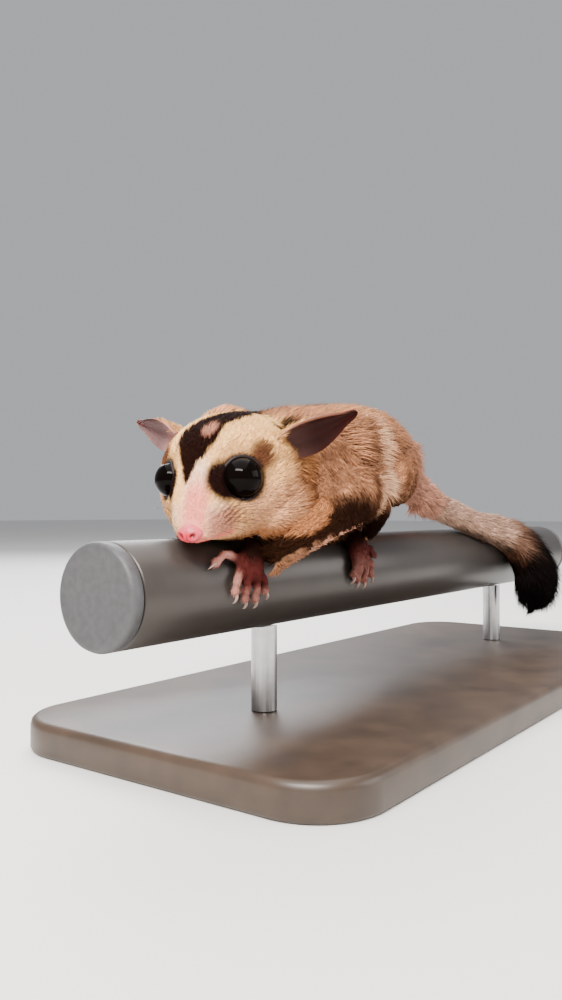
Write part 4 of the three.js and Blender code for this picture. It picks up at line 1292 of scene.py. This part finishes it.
def head_coat(skin, material, count, hair, rng):
    """The face: very short tufts that run back from the nose, longest on the crown and cheeks."""

    def density(middle, _):
        part, _ = belonging(middle)
        q = to_head(middle)
        f = q[:, 0]
        each = np.where((part == IN_HEAD) | ((f > -22) & (f < 16) & (part == IN_TRUNK)), 1.0, 0.0)
        each = each * (f > -24) * (1 + 1.2 * smooth(2, 10, f))
        for eye, radius in EYES.values():
            each = np.where(np.linalg.norm(q - eye, axis=1) < radius + 0.3, 0, each)
        each = np.where(np.linalg.norm(q - NOSE_AT, axis=1) < 2.7, 0, each)
        return each + 1e-9

    root, normal = skin_samples(skin, count, density, rng)
    q = to_head(root)
    f = q[:, 0]
    flow = q - np.array([19.0, 3.0, -6.5])
    flow[:, 2] += 3.0 * smooth(-4, -10, f)
    lie = unit(unit(flow) @ HEAD_AXES + 0.12 * wave_vectors(root, 4, 31))
    lie, group = clumped(root, lie, 10, 0.12, rng)
    length = hair * (0.28 + 0.72 * smooth(9, -10, f)) * rng.uniform(0.7, 1.25, count)
    cheek = blob(q, [-12, 16, -4], [6, 6, 7], 1.0) + blob(q, [-12, -16, -4], [6, 6, 7], 1.0)
    length = length * (1 + 0.8 * cheek)
    for eye, radius in EYES.values():
        gap = np.linalg.norm(q - eye, axis=1)
        length = length * (0.3 + 0.7 * smooth(radius + 0.4, radius + 3.0, gap))
    width = (0.075 + 0.045 * smooth(6, -8, f)) * rng.uniform(0.7, 1.3, count)
    lift = (0.26 + 0.14 * cheek) * rng.uniform(0.6, 1.4, count)
    colour = marking(root, np.full(count, IN_HEAD))
    tint = 1 + rng.normal(0, 0.1, count) + clump_tint(group, 0.07, HEAD_TINT_SEED)
    colour = colour * np.clip(tint, 0.6, 1.4)[:, None]
    unwrap = unwrap_about(from_head([0, 0, -3]), HEAD_AXES[0], -30, 16)
    fields = (root, normal, lie, length, width, lift, lift * 0.4, colour * 0.82, colour * 1.1)
    grow("coat_head", "face", material, unwrap, rng, *fields)


def fringe_coat(material, count, rng):
    """The fringe: tufts rooted along each membrane's free edge, slanting back and down, brown and longest by
    the wrist and paler behind."""
    for name, (inner, outer) in MEMBRANES.items():
        s = math.copysign(1.0, outer[0][1])
        t = rng.random(count) ** 1.3 * 0.55
        edge, root = through(outer, t), through(inner, t)
        place = edge + unit(root - edge) * rng.uniform(0.1, 0.7, (count, 1)) + rng.normal(0, 0.16, (count, 3))
        ahead = heading(outer, t)
        normal = unit(np.cross(ahead, edge - root)) * s
        normal = normal * np.sign(normal[:, 1:2] * s)
        lie = unit(ahead * 0.95 + unit(edge - root) * 0.45 + rng.normal(0, 0.06, (count, 3)))
        length = (1.7 - 1.2 * smooth(0.0, 0.45, t)) * rng.uniform(0.7, 1.15, count)
        width = rng.uniform(0.06, 0.11, count)
        lift = rng.uniform(0.0, 0.12, count)
        tone = over(np.broadcast_to(FRINGE, place.shape), FRINGE_EDGE, smooth(0.08, 0.4, t))
        tone = tone * rng.uniform(0.85, 1.08, (count, 1))
        unwrap = unwrap_about([-66, s * 24, 16], [1, 0, 0], -26, 26)
        fields = (place, normal, lie, length, width, lift, lift * 0.3, tone * 0.8, tone)
        side = name.removeprefix("membrane_")
        grow(f"fringe_{side}", "membrane", material, unwrap, rng, *fields)


def tail_coat(skin, material, count, hair, rng):
    """The tail: sleek where it leaves the rump, then longer and bushier to the hanging end."""

    def density(middle, _):
        part, _ = belonging(middle)
        return (part == IN_TAIL) * (1 + 0.8 * smooth(40, 60, middle[:, 0]))

    root, normal = skin_samples(skin, count, density, rng)
    _, lie = belonging(root)
    end = smooth(28, 62, root[:, 0] + 0.3 * (10 - root[:, 2]))
    lie = unit(lie + 0.14 * wave_vectors(root, 6, 41))
    lie, group = clumped(root, lie, 18, 0.11, rng)
    length = hair * (0.5 + 0.5 * end) * rng.uniform(0.7, 1.2, count)
    length = length * (1 - 0.42 * smooth(-8, -16, root[:, 2]))
    width = (0.15 + 0.05 * end) * rng.uniform(0.7, 1.3, count)
    lift = (0.4 + 0.1 * end) * rng.uniform(0.5, 1.3, count)
    colour = marking(root, np.full(count, IN_TAIL))
    tint = 1 + rng.normal(0, 0.12, count) + clump_tint(group, 0.12, TAIL_TINT_SEED)
    colour = colour * np.clip(tint, 0.5, 1.6)[:, None]
    unwrap = unwrap_about([0, -8, 8], [0.85, -0.25, -0.45], -10, 80)
    fields = (root, normal, lie, length, width, lift, lift * 0.35, colour * 0.7, colour * 1.2)
    grow("coat_tail", "brush", material, unwrap, rng, *fields)


class GLIDER_OT_eyes(bpy.types.Operator):
    """Makes the two glossy eyeballs and the dark lids round them."""

    bl_idname = "glider.eyes"
    bl_label = "Eyes"

    def execute(self, context):
        colour = tuple(context.scene.glider_colours.eye)
        gloss = plain_material("eye", colour, 0.03, 300.0, 0.0, 0.8, 1.2, IOR=1.12)
        rim = plain_material("lid", tuple(EYE_RIM), 0.5, 2500.0, 0.3, 0.8, 1.25, Specular_IOR_Level=0.3)
        for side, s in SIDES:
            eye, radius = EYES[s]
            points, faces = ball(eye, [radius] * 3, 64, 48)
            piece = make_mesh(f"eyeball_{side}", from_head(points), faces)
            finish_piece(piece, gloss, "eye", f"eye_{side}")
            piece = make_mesh(f"lids_{side}", *lid_form(s))
            finish_piece(piece, rim, "face")
        return {"FINISHED"}


def lid_form(s):
    """A ring round the eyeball: a small ellipse carried round a circle drawn out to a corner at the front."""
    n, count = 72, 12
    gaze = GAZE * [1, s, 1]
    eye, radius = EYES[s]
    across = unit(np.cross(UP, gaze))
    rise = np.cross(gaze, across)
    angle = 2 * np.pi * np.arange(n) / n
    corner = 0.9 * np.maximum(0, -s * np.cos(angle)) ** 7
    back = 0.3 * np.maximum(0, s * np.cos(angle)) ** 5
    out = across * np.cos(angle)[:, None] + rise * np.sin(angle)[:, None]
    centre = eye + gaze * 0.9 + out * (radius + 0.02 + corner + back)[:, None] - gaze * (0.6 * corner)[:, None]
    thick = 0.3 + 0.1 * np.maximum(0, np.sin(angle)) + 0.1 * corner
    turn = 2 * np.pi * np.arange(count) / count
    rings = centre[:, None] + out[:, None] * (thick[:, None] * np.cos(turn))[..., None]
    rings = rings + gaze * (0.9 * thick[:, None] * np.sin(turn))[..., None]
    r, c = np.arange(n)[:, None], np.arange(count)[None]
    a, b = r * count + c, r * count + (c + 1) % count
    d, e = ((r + 1) % n) * count + c, ((r + 1) % n) * count + (c + 1) % count
    return from_head(rings.reshape(-1, 3)), [np.stack([a, d, e, b], -1).reshape(-1, 4)]


def nostril(p, s, wide, high):
    """How far each point of the nose's unit ball is from a nostril, a slit that rises outwards, in its own
    width and height."""
    return np.hypot((p[:, 1] - s * 0.5) / wide, (p[:, 2] + 0.08 - 0.3 * (np.abs(p[:, 1]) - 0.5)) / high)


class GLIDER_OT_nose(bpy.types.Operator):
    """Makes the pink nose pad with its comma-shaped nostrils and middle groove."""

    bl_idname = "glider.nose"
    bl_label = "Nose"

    def execute(self, context):
        points, faces = ball([0, 0, 0], [1, 1, 1], 72, 48)
        p = points.copy()
        p[:, 2] *= 1.0 - 0.18 * smooth(0.2, 1.0, np.abs(p[:, 1]))
        form = p * [2.1, 2.7, 1.95]
        front = p[:, 0] > 0
        for s in (1, -1):
            d = nostril(p, s, 0.20, 0.26)
            form -= p * (0.75 * np.exp(-(d**2)) * front)[:, None]
            wing = np.exp(-(((d - 1.7) / 0.6) ** 2))
            form += p * (0.16 * wing * front)[:, None]
        groove = np.exp(-((p[:, 1] / 0.07) ** 2)) * smooth(0.55, -0.2, p[:, 2])
        form -= p * (0.4 * groove * front)[:, None]
        piece = make_mesh("nose_pad", from_head(form + NOSE_AT), faces)
        tone = np.broadcast_to(np.array(context.scene.glider_colours.nose), p.shape)
        spread = np.hypot(p[:, 1] / 0.85, (p[:, 2] + 0.15) / 0.6)
        tone = over(tone, NOSE_RED, smooth(1.1, 0.3, spread) * front * 0.85)
        for s in (1, -1):
            # Painted shade in the nostril openings.
            tone = over(tone, NOSTRIL_SHADE, smooth(1.2, 0.5, nostril(p, s, 0.24, 0.3)) * front * 0.95)
        paint(piece, tone)
        wet = skin_material("nose", 0.36, 0.15, 0.4)
        finish_piece(piece, wet, "nose", "nose")
        return {"FINISHED"}


class GLIDER_OT_ears(bpy.types.Operator):
    """Makes the thin cupped ears and the fur about their roots."""

    bl_idname = "glider.ears"
    bl_label = "Ears"

    def execute(self, context):
        skin = skin_material("ear", 0.6, 0.3, 0.12)
        fur = coat_material("ear_fur")
        for side, s in SIDES:
            piece, rows = ear_piece(side, s)
            finish_piece(piece, skin, "ear", f"ear_{side}")
            finish_piece(ear_fur(side, s, rows), fur, "face")
        return {"FINISHED"}


EAR_ROWS = 61
EAR_COLUMNS = 49


def ear_axes(side):
    """An ear's root, its length, and its directions along, across and out of the cup, in head coordinates."""
    root, tip, face, broad = [np.array(v, float) for v in EARS[side]]
    along = unit(tip - root)
    face = unit(face - along * (face @ along))
    return root, np.linalg.norm(tip - root), broad, along, np.cross(along, face), face


def ear_piece(side, s):
    """A leaf-shaped cup: width and depth fall to a rounded tip, with a folded rim and ribs inside the cup.
    Gives the piece and the rows of points midway through its wall."""
    root, reach, broad, along, across, face = ear_axes(side)
    t = np.linspace(0, 1, EAR_ROWS)[:, None]
    v = np.linspace(-1, 1, EAR_COLUMNS)[None, :]
    leaf = np.sqrt(np.maximum(0.0, 1 - t**5)) + 0.03
    wide = broad / 2 * (0.46 + 0.54 * np.sin(np.pi * np.minimum(1, t * 1.12 + 0.05))) * leaf
    wide = wide * (1 + 0.16 * np.sign(v * s) * smooth(0, 0.5, np.abs(v)) * np.sin(np.pi * t))
    cup = 3.4 * (1 - 0.55 * t) * leaf
    ribs = 0.16 * np.sin(9 * v + 1.5 * t) * smooth(0.1, 0.5, t) * (1 - v**2)
    rim = 0.5 * smooth(0.78, 1.0, np.abs(v)) * smooth(0, 0.3, t)
    middle = root + along * (-2.5 + (reach + 2.5) * t)[..., None]
    sunk = cup * (v**2 - 0.35) + 1.1 * t**2 + ribs - rim * 0.6
    points = middle + across * (v * wide)[..., None]
    points = points + face * sunk[..., None]
    wall = 0.3 * face
    shape = np.concatenate([(points + wall).reshape(-1, 3), (points - wall).reshape(-1, 3)])
    quads = grid_faces(EAR_ROWS, EAR_COLUMNS, closed=False)
    place = np.arange(EAR_ROWS * EAR_COLUMNS).reshape(EAR_ROWS, EAR_COLUMNS)
    edge = np.concatenate([place[0], place[1:, -1], place[-1, -2::-1], place[-2:0:-1, 0]])
    nxt = np.roll(edge, -1)
    band = np.stack([edge, edge + place.size, nxt + place.size, nxt], -1)
    piece = make_mesh(f"ear_skin_{side}", from_head(shape), [quads, quads[:, ::-1] + place.size, band])
    paint(piece, ear_colours(s, t, v * (1 if across[2] > 0 else -1)))
    mesh = piece.data
    bm = bmesh.new()
    bm.from_mesh(mesh)
    bmesh.ops.recalc_face_normals(bm, faces=bm.faces)
    bm.to_mesh(mesh)
    bm.free()
    return piece, points


def ear_colours(s, t, upper):
    """The cup's colours and then the back's: t runs from root to tip, and upper from lower rim to upper rim."""
    t, upper = [a.ravel() for a in np.broadcast_arrays(t, upper)]
    # Painted light: the left ear's cup is shaded, with a highlight along its upper rim and little pink; the
    # right ear's cup is lit and pink, with a shaded rim.
    inside = np.broadcast_to(EAR_CUP_SHADED_AND_LIT[s], (len(t), 3))
    inside = over(inside, EAR_RIM_HIGHLIGHT_AND_SHADE[s], smooth(0.62, 0.8, upper) * smooth(0.95, 0.7, t))
    inside = over(inside, EAR_PINK, smooth(0.55, 0.1, t) * (0.1 if s > 0 else 0.8))
    outside = over(np.broadcast_to(EAR_BACK, (len(t), 3)), EAR_BACK_TIP, smooth(0.2, 0.8, t) * 0.85)
    return np.concatenate([inside, outside])


def ear_fur(side, s, rows):
    """Short tufts about the ear's root, most of them on its back, thinning out along it."""
    root, _, _, along, _, face = ear_axes(side)
    rng = np.random.default_rng(EAR_FUR_SEED + s)
    n = 2200
    t = 0.02 + 0.42 * rng.random(n) ** 1.8
    v = rng.uniform(-1, 1, n)
    i = (t * (EAR_ROWS - 1)).astype(int)
    j = ((v + 1) * (EAR_COLUMNS // 2)).astype(int)
    on_back = (rng.random(n) < 0.9) | (t > 0.16)
    place = from_head(rows[i, j] + face * np.where(on_back, -0.25, 0.25)[:, None])
    normal = np.where(on_back[:, None], -face, face) @ HEAD_AXES
    lie = np.broadcast_to(along @ HEAD_AXES, place.shape) + rng.normal(0, 0.2, place.shape)
    length = np.where(on_back, 2.0, 1.5) * rng.uniform(0.6, 1.3, n) * (1.2 - t)
    width = np.full(n, 0.12)
    lift = rng.uniform(0.2, 0.5, n)
    tone = over(np.broadcast_to(CREAM, (n, 3)), BROWN, rng.random(n) * 0.7)
    unwrap = unwrap_about(from_head(root), along @ HEAD_AXES, -4, 22)
    fields = (place, normal, lie, length, width, lift, lift * 0.3, tone * 0.8, tone)
    return tuft_mesh(f"ear_fur_{side}", *fields, unwrap, rng)


class GLIDER_OT_claws(bpy.types.Operator):
    """Makes the hooked claws, one on each digit but the hind feet's first."""

    bl_idname = "glider.claws"
    bl_label = "Claws"

    def execute(self, context):
        parts = []
        for name, (side, _, toes) in HANDS.items():
            for i, toe in enumerate(toes):
                if name.startswith("foot") and i == 0:
                    continue
                parts.append(claw_form(toe, side))
        piece = make_mesh("claws", *joined(parts))
        colour = tuple(context.scene.glider_colours.claw)
        glow = {"Subsurface_Weight": 0.2, "Subsurface_Scale": 0.001}
        horn = plain_material("claw", colour, 0.3, 1500.0, 0.1, 0.85, 1.15, **glow)
        finish_piece(piece, horn, "skin")
        return {"FINISHED"}


def claw_form(toe, side):
    """A tapered tube that leaves the toe's tip and hooks down to the rail."""
    _, b, c = toe_joints(toe, side)
    ahead, out = unit(c - b), unit(np.array([0, c[1], c[2]]))
    start = c + out * 0.35 + ahead * 0.2
    path = [
        [*start, 0.36, 0.46],
        [*(start + ahead * 0.9 + out * 0.3), 0.29, 0.4],
        [*(start + ahead * 1.7 + out * 0.08), 0.19, 0.27],
        [*(start + ahead * 2.2 - out * 0.5), 0.04, 0.05],
    ]
    return tube(path, 10, 14, flat=tuple(out))


WHISKER_RADIUS = 0.075
BROW_WHISKER = 3.5
CHEEK_WHISKER = 6.0


class GLIDER_OT_whiskers(bpy.types.Operator):
    """Makes the long whiskers of the muzzle, brows and cheeks."""

    bl_idname = "glider.whiskers"
    bl_label = "Whiskers"

    def execute(self, context):
        longest = context.scene.glider_body.whisker / MM
        rng = np.random.default_rng(WHISKER_SEED)
        parts = []
        for s in (1, -1):
            for i in range(20):
                row, col = divmod(i, 5)
                left = s * (3.4 + 0.62 * col) + SNOUT_BEND * 10
                at = [11.0 - 1.5 * col, left, -5.2 - 0.95 * row + 0.35 * col]
                way = [-0.75 - 0.1 * col, s * (0.8 - 0.06 * col), 0.06 - 0.14 * row + rng.normal(0, 0.05)]
                length = longest * (0.5 + 0.12 * col) * (1 - 0.16 * row) * rng.uniform(0.75, 1.05)
                parts.append(whisker_form(at, way, length))
            for i in range(2):
                at = [2.4 - 1.2 * i, s * (5.4 + 0.8 * i), 6.6 + 0.9 * i]
                parts.append(whisker_form(at, [-0.8, s * 0.4, 0.35], BROW_WHISKER))
            for i in range(3):
                at = [-2.0 - 1.5 * i, s * 14.2, -7 + 1.0 * i]
                parts.append(whisker_form(at, [-0.7, s * 0.8, -0.1], CHEEK_WHISKER))
        piece = make_mesh("whiskers", *joined(parts))
        set_points(piece, off_rail(points_of(piece), 0.2))
        hair = plain_material("whisker", (0.05, 0.03, 0.025), 0.35, 900.0, 0.0, 0.7, 1.4)
        finish_piece(piece, hair, "face")
        return {"FINISHED"}


def whisker_form(at, way, length):
    """A hair-thin tapered tube that bends back and droops a little towards its tip."""
    t = np.array([0.0, 0.33, 0.66, 1.0])
    droop = np.array([-0.10 * length, 0, -0.09 * length])
    path = np.array(at) + unit(way) * (length * t)[:, None] + droop * (t**2)[:, None]
    size = WHISKER_RADIUS * (1 - 0.85 * t)
    points, faces = tube([[*p, r] for p, r in zip(path, size)], 5, 9)
    return from_head(points), faces


class GLIDER_OT_stand(bpy.types.Operator):
    """Makes the rail with its end plugs and the board, and gives the two rods a steel finish."""

    bl_idname = "glider.stand"
    bl_label = "Rail and stand"

    def execute(self, context):
        colours = context.scene.glider_colours
        shine = {"Specular_IOR_Level": 0.5, "Specular_Tint": (1.0, 0.92, 0.88, 1.0)}
        satin = plain_material("rail", tuple(colours.rail), 0.38, 160.0, 0.05, 0.9, 1.08, **shine)
        half, edge = RAIL_LENGTH / 2, 0.4
        end = [[half - edge, RAIL_RADIUS], [half, RAIL_RADIUS - edge], [half, 0]]
        profile = [[-x, radius] for x, radius in end[::-1]] + end
        finish_piece(make_mesh("rail", *turned(profile, 128)), satin, "rail", "perch_rail")
        plug = plain_material("plug", (0.05, 0.05, 0.053), 0.55, 700.0, 0.15, 0.85, 1.15)
        gap = 0.3
        rim = [[0, 0], [0, 10.7], [0.3, 11], [2, 11], [2.7, 10.7], [3, 10], [2.6, 8.6], [2.6, 0]]
        for name, s in (("front", -1), ("back", 1)):
            profile = [[s * (half + gap + x), radius] for x, radius in rim]
            finish_piece(make_mesh(f"plug_{name}", *turned(profile[::s], 96)), plug, "cap", f"perch_cap_{name}")
        steel = plain_material("steel", (0.5, 0.5, 0.51), 0.3, 500.0, 0.05, 0.92, 1.06, Metallic=1.0)
        wood = plain_material("board", tuple(colours.board), 0.42, 90.0, 0.08, 0.7, 1.3)
        for name in ("front", "back"):
            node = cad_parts[f"stand_rod_{name}"]
            node.data.materials.clear()
            node.data.materials.append(steel)
        finish_piece(make_mesh("board", *board_form()), wood, "stand", "stand_base")
        return {"FINISHED"}


def turned(profile, sides):
    """A profile of (place along X, radius) points turned about the rail's axis, which its first and last
    points lie on."""
    x, radius = np.array(profile[1:-1], float)[:, :, None].transpose(1, 0, 2)
    angle = 2 * np.pi * np.arange(sides) / sides
    return capped(np.stack([np.repeat(x, sides, 1), radius * np.cos(angle), radius * np.sin(angle)], -1))


def board_form():
    """A rounded rectangle carried up through levels, drawn in at each by an inset that softens its edges."""
    length, width, corner, sides = 226.0, 96.0, 16.0, 160
    inset = np.array([1.4, 0.4, 0.0, 0.0, 0.3, 1.0, 2.0])
    level = np.array([0.0, 0.2, 1.0, 6.0, 7.2, 7.8, 8.0]) - RAIL_HEIGHT
    angle = 2 * np.pi * (np.arange(sides) + 0.5) / sides
    c, s = np.cos(angle), np.sin(angle)
    centre = np.column_stack([np.sign(c) * (length / 2 - corner), np.sign(s) * (width / 2 - corner)])
    outline = centre[None] + np.column_stack([c, s])[None] * (corner - inset)[:, None, None]
    return capped(np.concatenate([outline, np.repeat(level[:, None, None], sides, 1)], -1))


class GLIDER_OT_stage(bpy.types.Operator):
    """Lays the floor, sets the lights and the sky, and places the photograph's camera."""

    bl_idname = "glider.stage"
    bl_label = "Stage"

    def execute(self, context):
        scene = context.scene
        settings = scene.glider_stage
        edge = 6000.0
        corners = [[x * edge, y * edge, -RAIL_HEIGHT] for x, y in ((-1, -1), (1, -1), (1, 1), (-1, 1))]
        floor = make_mesh("floor", corners, [np.array([[0, 1, 2, 3]])])
        floor.data.materials.append(plain_material("floor", tuple(settings.floor), 0.7, 4.0, 0.0, 0.98, 1.02))
        world = bpy.data.worlds.new("studio")
        world.use_nodes = True
        set_sockets(world.node_tree.nodes["Background"], Color=(0.93, 0.95, 1.0, 1.0), Strength=settings.sky)
        scene.world = world
        power = settings.key_power
        light("key", (-0.63, -0.22, 0.6), (0.5, 0.14), power, (1.0, 0.95, 0.89))
        light("fill", (0.35, -0.75, 0.35), (0.6, 0.4), power * 0.22, (1.0, 0.98, 0.96))
        light("back", (0.35, 0.5, 0.6), (0.5, 0.5), power * 0.5, (0.95, 0.97, 1.0))
        light("top", (-0.1, 0.05, 0.8), (1.3, 0.8), power * 0.62, (1.0, 0.97, 0.94))
        camera = bpy.data.objects.new("camera", bpy.data.cameras.new("camera"))
        scene.collection.objects.link(camera)
        turn, rise = math.radians(CAMERA_TURN), math.radians(CAMERA_RISE)
        x, y, z = CAMERA_AT
        camera.location = (x * MM, y * MM, (z + RAIL_HEIGHT) * MM)
        camera.rotation_euler = (math.pi / 2 + rise, 0, turn - math.pi / 2)
        camera.data.sensor_width = SENSOR
        camera.data.lens = CAMERA_LENS
        camera.data.clip_start = 0.01
        scene.camera = camera
        return {"FINISHED"}


# The place that the lights face, in metres.
LIGHTS_FACE = (-0.06, 0.0, 0.06)


def light(name, at, size, power, colour):
    """A soft light, of a width and height in metres, that faces the animal's shoulders."""
    data = bpy.data.lights.new(name, "AREA")
    data.shape = "RECTANGLE"
    data.size, data.size_y = size
    data.energy = power
    data.color = colour
    lamp = bpy.data.objects.new(name, data)
    bpy.context.scene.collection.objects.link(lamp)
    lamp.location = at
    aim = np.array(LIGHTS_FACE) - np.array(at)
    yaw = math.atan2(aim[1], aim[0])
    lamp.rotation_euler = (math.acos(-aim[2] / np.linalg.norm(aim)), 0, yaw - math.pi / 2)


class GLIDER_PT_panel(bpy.types.Panel):
    """Lists the pieces in the sidebar."""

    bl_label = "Sugar glider"
    bl_idname = "GLIDER_PT_panel"
    bl_space_type = "VIEW_3D"
    bl_region_type = "UI"
    bl_category = "Glider"

    def draw(self, context):
        for name, group in GROUPS.items():
            for key in group.__annotations__:
                self.layout.prop(getattr(context.scene, name), key)
        for operator in PIECES:
            self.layout.operator(operator.bl_idname)


PIECES = (
    GLIDER_OT_stage,
    GLIDER_OT_stand,
    GLIDER_OT_skin,
    GLIDER_OT_eyes,
    GLIDER_OT_nose,
    GLIDER_OT_ears,
    GLIDER_OT_claws,
    GLIDER_OT_whiskers,
    GLIDER_OT_coat,
)
GROUPS = {"glider_body": GliderBody, "glider_colours": GliderColours, "glider_stage": GliderStage}


def register():
    """Registers the settings, the pieces and the panel."""
    for name, group in GROUPS.items():
        bpy.utils.register_class(group)
        setattr(bpy.types.Scene, name, PointerProperty(type=group))
    for cls in (*PIECES, GLIDER_PT_panel):
        bpy.utils.register_class(cls)


def unregister():
    """Takes back what register added."""
    for cls in (GLIDER_PT_panel, *reversed(PIECES)):
        bpy.utils.unregister_class(cls)
    for name, group in GROUPS.items():
        delattr(bpy.types.Scene, name)
        bpy.utils.unregister_class(group)


def main():
    """Makes every piece in order."""
    register()
    bpy.ops.glider.stage()
    bpy.ops.glider.stand()
    bpy.ops.glider.skin()
    bpy.ops.glider.eyes()
    bpy.ops.glider.nose()
    bpy.ops.glider.ears()
    bpy.ops.glider.claws()
    bpy.ops.glider.whiskers()
    bpy.ops.glider.coat()


if __name__ == "__main__":
    main()
